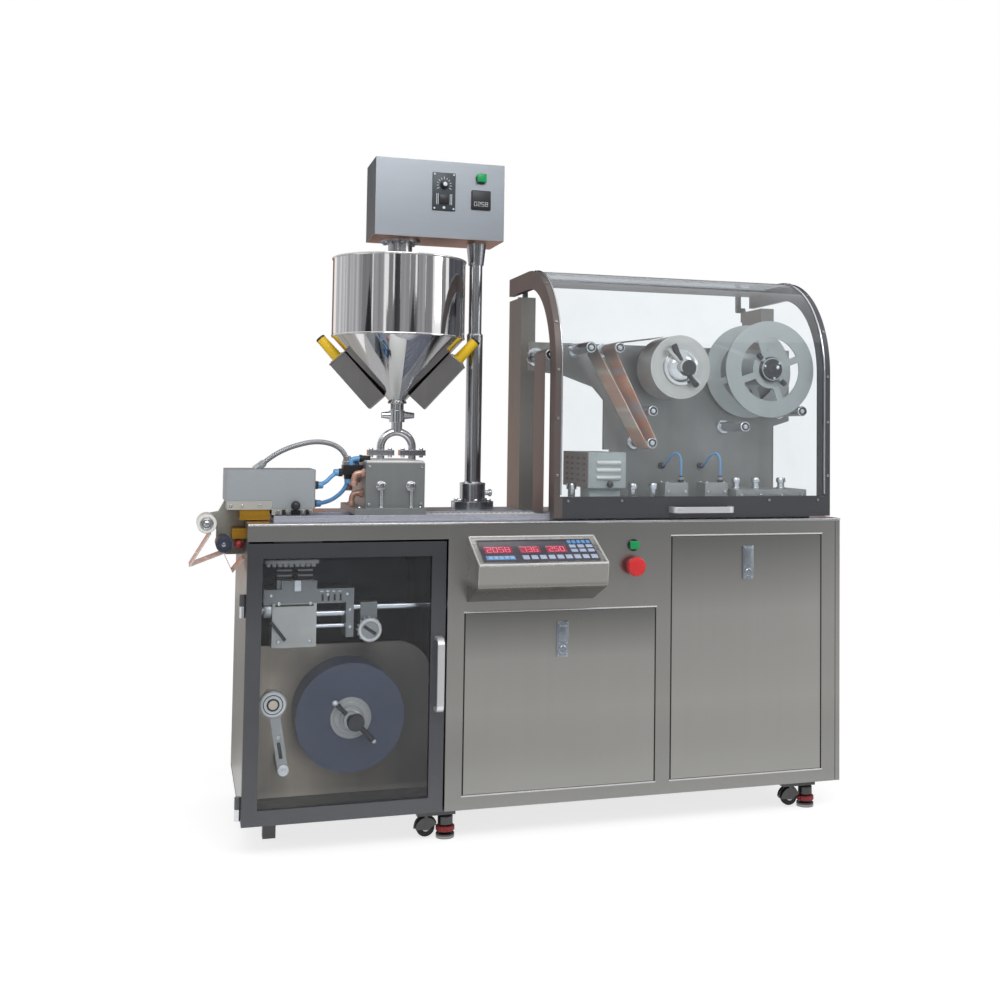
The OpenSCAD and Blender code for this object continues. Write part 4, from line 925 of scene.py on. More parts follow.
def digits(bm, text, left, foot, wide, tall, surface_at, turn, thick):
    """Seven-bar numbers laid flat, one after another."""
    half = thick / 2
    for place_in_row, mark in enumerate(text):
        x = left + place_in_row * wide * DIGIT_STEP
        for bar in NUMBERS[mark]:
            u0, v0, u1, v1 = SEGMENTS[bar]
            block(bm, x + u0 * wide - half, x + u1 * wide + half, foot + v0 * tall - half,
                  foot + v1 * tall + half, surface_at, surface_at + 0.3, soft=0.1, steps=1, turn=turn)


print("keypad:", round(KEY_W), "by", round(KEY_H), "mm")

# %% [markdown]
# The keypad's plate has a raised rim, and windows, numbers and keys lie on it as
# thin bars. Each colour is a piece of its own, because a piece has one finish.

# %% Keypad
DISPLAYS = ((10, 78, "2058"), (96, 146, "136"), (162, 212, "250"))
FRAME_W = 3
FRAME_BARS = (
    (0, KEY_W, 0, FRAME_W), (0, KEY_W, KEY_H - FRAME_W, KEY_H),
    (0, FRAME_W, 0, KEY_H), (KEY_W - FRAME_W, KEY_W, 0, KEY_H))
bm = bmesh.new()
block(bm, 0, KEY_W, 0, KEY_H, -4, -0.6, soft=0.8, turn=KEYPAD)
for u0, u1, v0, v1 in FRAME_BARS:
    block(bm, u0, u1, v0, v1, -1, 0.4, soft=0.5, turn=KEYPAD)
piece("keypad_plate", bm, "keypad_film", stands_for=["console_keypad"])

windows, numbers = bmesh.new(), bmesh.new()
for left, right_side, text in DISPLAYS:
    block(windows, left, right_side, 40, 70, -1, 0.2, soft=0.6, turn=KEYPAD)
    width = (right_side - left - 14) / ((len(text) - 1) * DIGIT_STEP + 1)
    digits(numbers, text, left + 7, 44, width, 21, 0.2, KEYPAD, thick=2.2)
piece("display_windows", windows, "window_dark")
piece("display_digits", numbers, "red_digit")

strip, keys = bmesh.new(), bmesh.new()
block(strip, 8, 78, 10, 27, -1, 0.5, soft=0.6, turn=KEYPAD)
for k in range(5):
    block(strip, 222 + 12 * k, 231 + 12 * k, 80, 94, -1, 0.5, soft=0.6, turn=KEYPAD)
    block(keys, 14 + 13 * k, 23 + 13 * k, 13, 24, 0.2, 1.0, soft=0.5, turn=KEYPAD)
for k in range(9):
    block(keys, 96 + 21 * k, 112 + 21 * k, 10, 27, -1, 0.9, soft=0.7, turn=KEYPAD)
for k in range(3):
    for row in (40, 60):
        block(keys, 222 + 21 * k, 238 + 21 * k, row, row + 13, -1, 0.9, soft=0.7, turn=KEYPAD)
piece("key_strip", strip, "key_blue")
piece("key_caps", keys, "key_pale")
print("displays show", [text for _, _, text in DISPLAYS])

# %% [markdown]
# Two push buttons sit on the fascia: a square green one in a dark bezel and a red
# mushroom on a darker red collar. The mushroom is turned on a lathe from a profile
# with a rolled rim, as the real cap is moulded.

# %% Push buttons
BUTTON_X, START_Z, STOP_Z = 925.5, 689, 638
bm = bmesh.new()
turned(bm, (BUTTON_X, 0, START_Z), "front", [(0, 0), (15, 0), (15, 2.5), (13.5, 4), (0, 4)])
piece("start_bezel", bm, "black_plastic")
bm = bmesh.new()
block(bm, BUTTON_X - 11.5, BUTTON_X + 11.5, -13, -3.5, START_Z - 10, START_Z + 10, soft=2.2, steps=3)
piece("start_cap", bm, "green_cap", stands_for=["start_button"])
bm = bmesh.new()
collar = [(0, 0), (19, 0), (19, 4), (17, 6), (14, 6.5), (14, 22), (0, 22)]
turned(bm, (BUTTON_X, 0, STOP_Z), "front", collar)
piece("stop_collar", bm, "dark_red")
bm = bmesh.new()
mushroom = [(0, 20), (17, 20), (22.5, 21), (24, 24), (23.6, 28), (21, 31.5), (14, 33.6), (0, 34.2)]
turned(bm, (BUTTON_X, 0, STOP_Z), "front", mushroom)
piece("stop_cap", bm, "red_cap", stands_for=["stop_button"])
print("buttons at x", BUTTON_X)

# %% [markdown]
# The panels' sheet edges are folded, which shows as bright rims above and below. At
# the sides, black strips over the gaps are painted shade, and one more marks the seam
# at the fascia's right corner. A thin bead runs round the console's face. Rims are
# tubes, because a drawn line would not catch the light.

# %% Panel rims and console bead
PANELS = ((504, 985.2, 110, 533.2), (1029.2, 1444, 110, 708))
rims, gaps = bmesh.new(), bmesh.new()
for x0, x1, z0, z1 in PANELS:
    for z in (z0 - 3, z1 + 3):
        tube(rims, [(x0 - 4, -0.4, z), (x1 + 4, -0.4, z)], 1.9, 10)
    # Painted shade: black strips over the side gaps.
    for x in (x0 - 1, x1 + 1):
        block(gaps, x - 1.8, x + 1.8, -0.5, 1.2, z0 - 1, z1 + 1, soft=0.3)
block(gaps, 1486, 1487.4, -0.4, 0.6, 78, 742, soft=0.2)
piece("panel_rims", rims, "pale_metal")
piece("gap_shade_and_seam", gaps, "tyre_rubber")

bm = bmesh.new()
BEAD_CORNERS = ((509, -118.6, 659.4), (820, -118.6, 659.4), (820, -2, 713.6), (509, -2, 713.6))
corners = [Vector(c) for c in BEAD_CORNERS]
for a, b in zip(corners, corners[1:] + corners[:1]):
    rod(bm, a, b - a, 2.4, (b - a).length, 0.6, 12)
piece("console_bead", bm, "pale_metal")
print("panels with rims:", len(PANELS))

# %% [markdown]
# Each lift-off panel is held by a flush paddle latch: a chromed dish, a paddle
# hinged at its top and a round key lock at its foot. Three bars, a turned lock and
# small screws give it, and one function serves both panels.

# %% Panel latches
LATCHES = ((744.6, 507.2), (1236.4, 682))
LOCK = [(0, 0), (9.6, 0), (9.6, 2.6), (8, 3.8), (2.2, 3.8), (2.0, 3.2), (0, 3.2)]


def latch(bm, x, z):
    """A paddle latch whose top is at z."""
    block(bm, x - 14.6, x + 14.6, -5.4, 0, z - 84.6, z + 0.6, soft=1.6)
    block(bm, x - 10.3, x + 10.3, -8.6, -5, z - 46.3, z - 7.7, soft=1.4)
    block(bm, x - 11.5, x + 11.5, -10.5, -5, z - 10, z - 4, soft=1.4)
    turned(bm, (x, -5, z - 66), "front", LOCK, 28)
    row_of_screws(bm, (x - 9.5, x + 9.5), -5, (z - 79, z - 51), 2.2, 1.8)


bm = bmesh.new()
for x, z in LATCHES:
    latch(bm, x, z)
piece("panel_latches", bm, "latch_metal")
print("latches:", len(LATCHES))

# %% [markdown]
# The machine rolls on small wheels and is set level on screw feet with a red dial.
# Wheel, hub, dial and pad are turned; the dial has a knurl of small ridges. The
# fork is a plate on each side of the wheel, with a round roof.

# %% Levelling casters
CASTERS = [(x, y) for x in (475, 1430) for y in (56, 504)]
WHEEL_LEFT, WHEEL_Z = 48, 27
TYRE = [(8, 0), (17, 0), (20.5, 1.5), (22, 5), (22, 13), (20.5, 16.5), (17, 18), (8, 18)]
HUB = [(0, 0), (4, 0), (4, 0.8), (9, 1), (9, 19), (4, 19.2), (4, 20), (0, 20)]
LEVEL_DIAL = [(7, 0), (20, 0), (21.4, 1.5), (21.4, 11.5), (20, 13), (7, 13)]
PAD = [(0, 0), (21, 0), (22.2, 1), (22.2, 6), (19, 9.5), (12, 11.5), (7.5, 12), (7.5, 15), (0, 15)]
STEM = [(7, 0), (16, 0), (18, 2), (18, 20), (14, 25), (7, 25)]
FORK_ARC = [math.radians(15 + 10 * k) for k in range(18)]
tyres, hubs, dials, pads, forks = (bmesh.new() for _ in range(5))
for x, y in CASTERS:
    axle = x - WHEEL_LEFT
    turned(tyres, (axle, y - 9, WHEEL_Z), "y", TYRE)
    turned(hubs, (axle, y - 10, WHEEL_Z), "y", HUB, 28)
    turned(dials, (x, y, 15.5), "z", LEVEL_DIAL)
    for u, v in ring_of(20, 21):
        rod(dials, (x + u, y + v, 17), "z", 1.6, 10, 0.5, 8)
    turned(pads, (x, y, 0), "z", PAD)
    rim = [(axle + 25 * math.cos(a), WHEEL_Z + 25 * math.sin(a)) for a in FORK_ARC]
    rim += [(x - 40, 22), (x - 34, 30)]
    for y0, y1 in ((-13.6, -10.6), (10.6, 13.6)):
        plate(forks, [(u, y + y0, h) for u, h in rim], [(u, y + y1, h) for u, h in rim])
    tube(forks, [(axle + 25.5 * math.cos(a), y, WHEEL_Z + 25.5 * math.sin(a)) for a in FORK_ARC], 3, 8)
    turned(forks, (x, y, 30), "z", STEM, 32)
piece("caster_tyres", tyres, "tyre_rubber", stands_for=["caster_wheels"])
piece("caster_hubs", hubs, "machined")
piece("levelling_dials", dials, "dark_red")
piece("foot_pads", pads, "box_steel")
piece("caster_forks", forks, "base_steel")
print("casters:", len(CASTERS))

# %% [markdown]
# Film and foil come wound on rolls, whose sides show the many layers as fine
# circles. A noise on the distance from the roll's axis draws them, since one
# value per distance gives rings by itself.

# %% Finish: wound film
FILM_ROLL = (247, 290.325)
FOIL = (1074.784, 1137.086)
WASTE = (1330.312, 1137.729)


def wound(name, colour, middle, pitch, depth, metal, rough):
    """Layers of film or foil seen from the side, round an axis along Y."""
    tree, shader, where = start_finish(name)
    base = tone(*colour)
    radius = from_axis(tree, where, tuple(place(middle[0], 0, middle[1])))
    sockets = {"W": times(tree, radius, pitch), "Scale": 1.0, "Detail": 1.0, "Roughness": 0.5}
    rings = put(tree, "TexNoise", sockets, noise_dimensions="1D").outputs[0]
    cloudy = times(tree, use(tree, marks_group, Vector=where, Scale=6.0)["Mask"], 0.15)
    fine = ranged(tree, rings, 0.0, 1.0, 0.3, 0.7)
    layers = mixed(tree, fine, shaded(base, 1 - depth), shaded(base, 1 + depth))
    wire(tree, shader, {
        "Base Color": mixed(tree, cloudy, layers, shaded(base, 1.5)),
        "Roughness": ranged(tree, rings, rough * 0.8, rough * 1.2),
        "Normal": bump_from(tree, rings, 0.02, 0.0006),
        "Metallic": metal,
    })


wound("film_layers", (54, 61, 81), FILM_ROLL, pitch=220, depth=0.1, metal=0.0, rough=0.34)
wound("foil_layers", (192, 190, 186), FOIL, pitch=300, depth=0.08, metal=0.6, rough=0.34)
print("wound finishes made")

# %% [markdown]
# The film roll turns on a chuck with a machined ring, a black hub and two lever
# arms that clamp the core. Ring and hub are turned, with the steps of the real one
# in the profile, and they ride on the roll's body.

# %% Film chuck
x, z = FILM_ROLL
CHUCK = [
    (12.5, -105), (38, -105), (38, 0), (48.4, 0), (48.4, 4.5), (46.5, 6.4), (43, 6.4), (42, 4.6), (38, 4.6),
    (37, 6.4), (30, 6.4), (29, 4.6), (25, 4.6), (24, 8), (19, 8.6), (18.2, 26), (12.5, 26)]
bm = bmesh.new()
turned(bm, (x, 67.5, z), "front", CHUCK, 56)
for u, v in ring_of(3, 33.5, 90):
    cap_screw(bm, (x + u, 61.2, z + v), "front", 3.0, 2.6)
piece("chuck_ring", bm, "bench_metal", "film_reel", stands_for=["film_chuck"])
bm = bmesh.new()
turned(bm, (x + 9, 46, z - 6), "front", [(0, -8), (20, -8), (20, 10), (18, 13), (0, 13.4)], 36)
lever_arm(bm, x + 9, 42, z - 6, -47, 15, 60, 7.4)
lever_arm(bm, x, 47, z, 134, 15, 50, 6)
piece("chuck_hub", bm, "black_plastic", "film_reel")
bm = bmesh.new()
ball_knob(bm, (x - 33, 47, z + 34), (-1, 0, 1), 7, 1)
ball_knob(bm, (x + 48, 42, z - 48), (1, 0, -1), 5, 1)
turned(bm, (x + 4, 54, z - 3), "front", [(12, -8), (21, -8), (21.4, -6), (21.4, -1), (20, 0), (12, 0)], 36)
piece("chuck_lever", bm, "pale_metal", "film_reel")
print("film chuck on the roll at", FILM_ROLL)

# %% [markdown]
# Above the roll the indexing carriage pulls the film. Its plates carry screws, two
# dark bellows hide the guide columns and a toothed collar closes them. Bellows are
# flat bars in a stack, which reads as folds and costs few faces.

# %% Carriage: screws, bellows and rods
CARRIAGE_Y = 85
FOLDS, TEETH = 9, 9
bm = bmesh.new()
row_of_screws(bm, (78, 150), CARRIAGE_Y, (470, 558), 4.2, 3.6)
for x, z in ((60, 577), (190, 577), (236, 577), (243, 500), (243, 540), (124, 592)):
    cap_screw(bm, (x, CARRIAGE_Y, z), "front", 3.6, 3)
block(bm, 112, 128, 79, 85.5, 586, 612, soft=1.5)
for x in (172, 186, 200, 214):
    block(bm, x, x + 8, 83.6, 85.5, 583, 586, soft=0.6)
piece("carriage_screws", bm, "bright_steel")
bm = bmesh.new()
for x0 in (73, 121):
    for k in range(FOLDS):
        z = 612 + 12 * k
        block(bm, x0 - 3, x0 + 37, 92, 163, z, z + 8, soft=2.5)
piece("column_bellows", bm, "tyre_rubber")
bm = bmesh.new()
block(bm, 44, 168, 84, 166, 650, 660)
for k in range(TEETH):
    block(bm, 48 + 13 * k, 57 + 13 * k, 84, 90, 643, 652)
piece("column_collars", bm, "bench_metal")
bm = bmesh.new()
GUIDE_RODS = ((110, 529.95, 7.6, 165, 234), (110, 500.25, 5.6, 165, 234), (125, 540.75, 8.6, 252, 459))
for y, z, radius, x0, x1 in GUIDE_RODS:
    rod(bm, (x0, y, z), "x", radius, x1 - x0, 0.8)
piece("guide_rods", bm, "bright_steel")
print("bellows with", FOLDS, "folds")

# %% [markdown]
# A small dial on the carriage sets the stroke. Its knurled ring, face and pointer are
# three finishes, so they are three pieces. The slots in the carriage's plates are black
# bars, painted shade in the openings; they share the pointer's finish and go with it.

# %% Carriage: stroke dial
DIAL_X, DIAL_Z, DIAL_Y = 292, 488.9, 93.5
SIDE_KNOB = [(0, 0), (9, 0), (10, 1.5), (10, 6), (16, 7), (17, 9), (17, 22), (15, 24.5), (0, 24.5)]
bm = bmesh.new()
ring = [(20, 0), (28.4, 0), (28.4, 4), (26, 6.5), (21.5, 6.5), (20, 3)]
turned(bm, (DIAL_X, DIAL_Y, DIAL_Z), "front", ring, 48)
for u, v in ring_of(16, 28):
    rod(bm, (DIAL_X + u, 100, DIAL_Z + v), "y", 2.2, 14, 0.6, 8)
turned(bm, (38, 102, 541), "x", SIDE_KNOB, 32)
piece("stroke_dial", bm, "pale_metal")
bm = bmesh.new()
turned(bm, (DIAL_X, DIAL_Y, DIAL_Z), "front", [(0, 0), (20.5, 0), (20.5, 1.5), (8, 2), (8, 5), (0, 5)])
piece("dial_face", bm, "bench_metal")
bm = bmesh.new()
block(bm, DIAL_X - 17, DIAL_X + 17, 87, 92, DIAL_Z - 4, DIAL_Z + 4, soft=1.5, turn=about(DIAL_X, DIAL_Z, 35))
# Painted shade: black bars stand in the carriage plates' slots.
block(bm, 70, 158, 84.2, 86, 551, 556, soft=0.5)
block(bm, 74, 82, 79, 85.4, 462, 520, soft=2, turn=about(70, 491, -38))
for x in (176, 190, 204, 218):
    block(bm, x, x + 5, 84.2, 86, 562, 578, soft=0.4)
piece("pointer_and_slot_shade", bm, "black_plastic")
print("stroke dial at", DIAL_X, DIAL_Z)

# %% [markdown]
# The dancer arm keeps the film taut. It swings on its foot, so its caps and dark
# rings ride on its body and follow the joint.

# %% Dancer details
DANCER_TOP, DANCER_FOOT = (67, 334.2), (93, 183.7)
bm = bmesh.new()
roller_cap = [(10.4, 0), (28, 0), (28, 1.4), (24, 2), (22, 1), (15, 1), (14, 2.2), (10.4, 2.2)]
foot_cap = [(0, 0), (13, 0), (13, 2.5), (11, 4), (5, 4), (4, 2.4), (0, 2.4)]
turned(bm, (DANCER_TOP[0], 44.2, DANCER_TOP[1]), "front", roller_cap)
turned(bm, (DANCER_FOOT[0], 44.2, DANCER_FOOT[1]), "front", foot_cap, 32)
cap_screw(bm, (80, 46.2, 259), "front", 4, 3)
piece("dancer_caps", bm, "pale_metal", "dancer")
bm = bmesh.new()
for y, inner, outer, height, sides in ((43, 10.5, 14.6, 1.6, 32), (43.4, 20.6, 22.6, 1.2, 40)):
    washer = [(inner, 0), (outer, 0), (outer, height), (inner, height)]
    turned(bm, (DANCER_TOP[0], y, DANCER_TOP[1]), "front", washer, sides)
block(bm, 80.4, 88.4, 44.6, 48, 210, 248, soft=1.5, turn=about(81, 229, -9.8))
piece("dancer_rings", bm, "black_plastic", "dancer")
print("dancer caps made")

# %% [markdown]
# At the left end the forming heater sits over brass plates. Below its cover runs a
# row of dark clamps with bright screws; a black knob sets the gap and a red one
# frees the film. The infeed roller is white with a bearing in its end, and the
# tension roller under it is wrapped in film.

# %% Heater details
HEATER_Y = 85
INFEED, TENSION = (-88, 745), (-49, 697)
bm = bmesh.new()
for x in (70, 92, 128, 146):
    hex_bolt(bm, (x, 84.8, 771), "front", 5.5, 6)
row_of_screws(bm, (-36, -10, 30), HEATER_Y, (786,), 3.2, 2.6)
piece("heater_screws", bm, "bright_steel")
bm = bmesh.new()
ball_knob(bm, (110, HEATER_Y, 787), "front", 11, 5)
block(bm, 80, 88, 80, 85.4, 765, 777)
block(bm, 100, 122, 79, 85.4, 765, 776, soft=1.5)
block(bm, 134, 141, 80, 85.4, 765, 777)
piece("heater_knob", bm, "black_plastic")
bm = bmesh.new()
ball_knob(bm, (-15, 178, 697), "front", 10, 78)
piece("release_knob", bm, "dark_red")
bm = bmesh.new()
white_roller = [(0, -93), (22, -93), (22, -1.5), (20.5, 0), (16, 0), (15.2, -1.6), (0, -1.6)]
turned(bm, (INFEED[0], HEATER_Y, INFEED[1]), "front", white_roller, 48)
turned(bm, (INFEED[0], 178, INFEED[1]), "y", [(0, 0), (6, 0), (6, 2), (0, 2)], 24)
piece("infeed_roller", bm, "white_plastic", stands_for=["infeed_rollers"])
bm = bmesh.new()
bearing_rings = [(0, 0), (14.8, 0), (14.8, 1.2), (12, 1.8), (11, 1.0), (7, 1.0), (6, 4), (4.4, 5), (0, 5)]
turned(bm, (INFEED[0], 87, INFEED[1]), "front", bearing_rings, 36)
turned(bm, (TENSION[0], HEATER_Y, TENSION[1]), "front", [(0, 1), (4, 1), (5, 3), (0, 4)], 24)
piece("roller_bearings", bm, "bright_steel")
bm = bmesh.new()
film_roller = [
    (0, -95), (6, -95), (6, -93), (18, -93), (18, -1.5), (16.5, 0), (13, 0), (12, 1.4), (4, 1.4), (0, 1.4)]
turned(bm, (TENSION[0], HEATER_Y, TENSION[1]), "front", film_roller, 48)
piece("tension_roller", bm, "film_layers")
print("heater dressed")

# %% [markdown]
# Hose ends carry ferrules: a dark nut with flats and a coloured collar. Both are
# turned, the nut with six sides, and they sit on the ports of the solids.

# %% Hose ferrules
FERRULE_R = 8.2
PORTS = (((157, 130, 832), "x"), ((157, 170, 786), "x"), ((240, 150, 856), "down"), ((226, 142, 862), "left"))


def ferrule(nuts, collars, base, along, r):
    nut = [(r * 0.62, 0), (r * 1.25, 0), (r * 1.25, 9), (r * 1.1, 10), (r * 0.62, 10)]
    collar = [(r * 0.62, 10), (r * 1.05, 10), (r, 20), (r * 0.8, 22), (r * 0.62, 22)]
    turned(nuts, base, along, nut, 6)
    turned(collars, base, along, collar, 28)


dark, coloured = bmesh.new(), bmesh.new()
for port, along in PORTS:
    ferrule(dark, coloured, port, along, FERRULE_R)
piece("hose_nuts", dark, "black_plastic")
piece("hose_collars", coloured, "hose_blue")
bm = bmesh.new()
ferrule(bm, bm, (237, 150, 880), "z", 9.2)
lean = Vector((12, 0, 10)).normalized()
braid_end = [(6, 0), (11, 0), (11, 12), (9.4, 14), (9.2, 26), (7.4, 30), (6, 30)]
turned(bm, Vector((40, 150, 884)) - lean * 26, lean, braid_end, 6)
piece("braid_ferrules", bm, "machined")
bm = bmesh.new()
for k in (0, 1):
    x = HOOD_X + TUBE_STEP * k
    turned(bm, (x + 380, 130, 838), "z", [(0, 0), (8.4, 0), (8.4, 6), (6.5, 8), (6.5, 16), (3.2, 18)], 20)
    turned(bm, (x + 356, 215, 880), "front", [(0, 0), (8.4, 0), (8.4, 6), (7.2, 8), (7.2, 17), (3.2, 19)], 20)
piece("tube_fittings", bm, "black_plastic")
print("ferrules on ports:", len(PORTS))

# %% [markdown]
# Copper elbows leave the feeder's side and blue ones join the manifold. An elbow is
# a tube along a short curve, which bends as real pipe does.

# %% Pipe elbows
bm = bmesh.new()
for y, z in ((104, 862), (196, 846), (140, 812)):
    tube(bm, smooth_path([(274, y, z), (262, y, z), (253, y, z - 3), (249, y, z - 12), (248, y, z - 26)]), 7)
    hex_bolt(bm, (274, y, z), "left", 11, 7)
    turned(bm, (248, y, z - 20), "down", [(5, 0), (9.4, 0), (9.4, 8), (8, 10), (5, 10)], 20)
piece("air_elbows", bm, "copper_fitting")
bm = bmesh.new()
upper = [(246, 144, 878), (246, 144, 888), (250, 144, 893), (258, 144, 895), (270, 144, 896)]
lower = [(262, 158, 878), (262, 158, 884), (258, 158, 890), (250, 160, 893), (243, 162, 893)]
tube(bm, smooth_path(upper), 6.5)
tube(bm, smooth_path(lower), 5.5)
piece("manifold_elbows", bm, "hose_blue")
bm = bmesh.new()
turned(bm, (266, 144, 896), "x", [(0, 0), (9, 0), (9, 5), (7.6, 7), (7.6, 16), (6, 18), (0, 18)], 24)
turned(bm, (246, 162, 893), "left", [(0, 0), (8, 0), (8, 6), (6.8, 8), (6.8, 13), (0, 14)], 24)
block(bm, 276, 292, 136, 152, 889.4, 903, soft=1.6)
piece("manifold_plugs", bm, "black_plastic")
print("elbows made")

# %% [markdown]
# The hopper is spun from mirror steel. A ground weld joins cylinder and cone, and a
# collar closes the foot. Both are turned rings that hug the solid.

# %% Hopper welds
HOPPER = (380, 290)
WELD = [(169.6, 1201.6), (171.0, 1203), (171.2, 1204.6), (170.8, 1206.4), (169.6, 1208), (169.6, 1201.6)]
FOOT_COLLAR = [(17, 1034), (23, 1034), (24.2, 1035.5), (24.2, 1039), (22, 1041), (17, 1041), (17, 1034)]
bm = bmesh.new()
turned(bm, (*HOPPER, 0), "z", WELD, 96)
turned(bm, (*HOPPER, 0), "z", FOOT_COLLAR)
piece("hopper_welds", bm, "mirror_steel")
print("hopper welds made")

# %% [markdown]
# Two grey boxes with yellow grips hang on the cone: vibrators that keep the pills
# moving. The grips have ribs for the hand. A matrix lays X up the cone's slope, so
# that grip, lid and screws are placed along it as on a bench.

# %% Vibrator grips
CONE_H, CONE_RUN = 168, 153
SLOPE_L = math.hypot(CONE_H, CONE_RUN)
CONE_TILT = math.atan2(CONE_H, CONE_RUN)
CONE_FOOT = (17, 0, 1036.5)
BOX_TURN = math.radians(-14)
GRIP_START = 0.765 * SLOPE_L


def on_cone(side):
    turn_box = Matrix.Translation((*HOPPER, 0)) @ Matrix.Rotation(BOX_TURN, 4, "Z")
    if side < 0:
        turn_box = turn_box @ Matrix.Diagonal((-1, 1, 1, 1))
    slope = Matrix.Translation(CONE_FOOT) @ Matrix.Rotation(-CONE_TILT, 4, "Y")
    return turn_box @ slope @ Matrix.Diagonal((1, 1, -1, 1))


grips, lids, caps = bmesh.new(), bmesh.new(), bmesh.new()
ribs = [(14.6 - 0.03 * (h - 6) - (1.0 if k % 2 else 0.0), h) for k, h in enumerate(range(8, 66, 4))]
grip = [(0, 0), (17, 0), (17, 5), (14.6, 6.5), *ribs, (12.6, 67), (10, 69), (0, 69)]
for side in (-1, 1):
    up_slope = on_cone(side)
    foot = up_slope @ Vector((GRIP_START, 0, 25))
    way = (up_slope.to_3x3() @ Vector((1, 0, 0))).normalized()
    turned(grips, foot, way, grip, 32)
    turned(caps, foot, way, [(0, 67), (12.9, 67), (12.9, 70), (11, 72.5), (0, 72.5)], 28)
    block(lids, GRIP_START - 3, GRIP_START + 1.2, -31, 31, -1, 51.5, soft=1.2, turn=up_slope)
    for across in (-22, 22):
        for rise in (8, 42):
            cap_screw(lids, up_slope @ Vector((GRIP_START + 1, across, rise)), way, 3.2, 2.6)
piece("vibrator_grips", grips, "yellow_grip", stands_for=["yellow_grips"])
piece("vibrator_lids", lids, "box_steel")
piece("grip_caps", caps, "black_plastic")
print("grips ride on a slope of", round(math.degrees(CONE_TILT), 1), "degrees")

# %% [markdown]
# The drive box carries a speed plate with a knob, a scale and a switch, a counter
# and a green push button. The scale is a fan of small ticks round the knob. As on
# the keypad, a matrix stands a flat drawing up on the box's face.

# %% Drive box controls
BOX_X, BOX_Y, BOX_Z = 302, 213, 1458.5
FACE = Matrix.Translation((BOX_X, BOX_Y, BOX_Z)) @ Matrix.Rotation(math.radians(90), 4, "X")
KNOB_U, KNOB_V = 175, 137
RUN_U, RUN_V = 272.5, 160
TICKS = 11


def on_face(u, v, out=0):
    return FACE @ Vector((u, v, out))


bm = bmesh.new()
block(bm, 145, 205, 71, 169, 0, 4, soft=1.6, turn=FACE)
piece("speed_plate", bm, "plate_dark", stands_for=["drive_controls"])
bm = bmesh.new()
block(bm, 163, 187, 88, 112, 3.8, 9, soft=1.6, turn=FACE)
block(bm, 247, 298, 79, 129, 0, 7, soft=3, steps=3, turn=FACE)
speed_knob = [(0, 0), (11, 0), (11, 2), (9.2, 3), (8.4, 13), (6, 14), (0, 14)]
turned(bm, on_face(KNOB_U, KNOB_V, 4), "front", speed_knob, 32)
turned(bm, on_face(RUN_U, RUN_V), "front", [(0, 0), (14.5, 0), (14.5, 2.4), (13, 3.4), (0, 3.4)], 32)
piece("drive_switchgear", bm, "black_plastic")
bm = bmesh.new()
for k in range(TICKS):
    turn = Matrix.Translation((KNOB_U, KNOB_V, 4)) @ Matrix.Rotation(math.radians(210 - 24 * k), 4, "Z")
    block(bm, 14.5, 19.5 if k % 5 else 21.5, -0.7, 0.7, -0.2, 0.4, soft=0.1, steps=1, turn=FACE @ turn)
for u in (155, 159, 190, 194):
    block(bm, u, u + 1.6, 86, 114, 3.8, 4.5, soft=0.2, steps=1, turn=FACE)
for u in (150, 200):
    for v in (76, 164):
        cap_screw(bm, on_face(u, v, 4), "front", 2.4, 1.4)
turned(bm, on_face(KNOB_U, KNOB_V, 17.6), "front", [(0, 0), (5.2, 0), (5.2, 0.8), (4, 1.2), (0, 1.2)], 24)
turned(bm, on_face(KNOB_U, 78.5, 4), "front", [(0, 0), (3.6, 0), (3.6, 0.6), (0, 0.8)], 20)
digits(bm, "0258", 254, 88, 6.2, 10, 7, FACE, thick=1.2)
# The marks' finish glows: painted light.
piece("drive_marks", bm, "pale_digit")
bm = bmesh.new()
block(bm, 260, 285, 150, 172, 3, 13, soft=2.4, steps=3, turn=FACE)
piece("run_button", bm, "green_cap")
print("drive controls set at", round(BOX_Z), "mm")

# %% [markdown]
# The tower post stands in a bolted flange with a split clamp. The drive tube hangs
# from a bolted ring, and the feed pipe is held by two bars with nuts. Bolts are set
# in circles by a loop, as a drill jig would set them.

# %% Tower fasteners
POST = (582, 290)
CLAMP_SCREW = [(0, 0), (6.6, 0), (6.6, 10), (9.5, 11), (9.5, 16), (7.5, 18), (0, 18)]
CLAMP_RING = [(21, 0), (33.6, 0), (33.6, 3.5), (31.5, 5), (24, 5), (21.4, 8), (21, 8)]
bm = bmesh.new()
for u, v in ring_of(6, 1, 30):
    hex_bolt(bm, (POST[0] + 44 * u, POST[1] + 44 * v, 783), "z", 6.5, 6.5)
    hex_bolt(bm, (HOPPER[0] + 43 * u, HOPPER[1] + 43 * v, 1450.5), "down", 5, 4.5)
turned(bm, (POST[0] + 33, POST[1], 804.5), "x", CLAMP_SCREW, 24)
turned(bm, (*POST, 826), "z", CLAMP_RING, 48)
turned(bm, (*POST, 1217), "z", [(17, 0), (21.2, 0), (21.2, 1.6), (19, 4), (17, 5)])
for x in (315.5, 363.5, 396.5, 444.5):
    hex_bolt(bm, (x, HOPPER[1], 915), "z", 5.5, 5)
    hex_bolt(bm, (x, HOPPER[1], 901), "down", 5.5, 5)
piece("tower_bolts", bm, "bright_steel")
print("tower bolts made")

# %% [markdown]
# Two taps on the feeder's front set the flow of pills. They and the screws round
# them are one bright piece, and a pale lid closes the box.

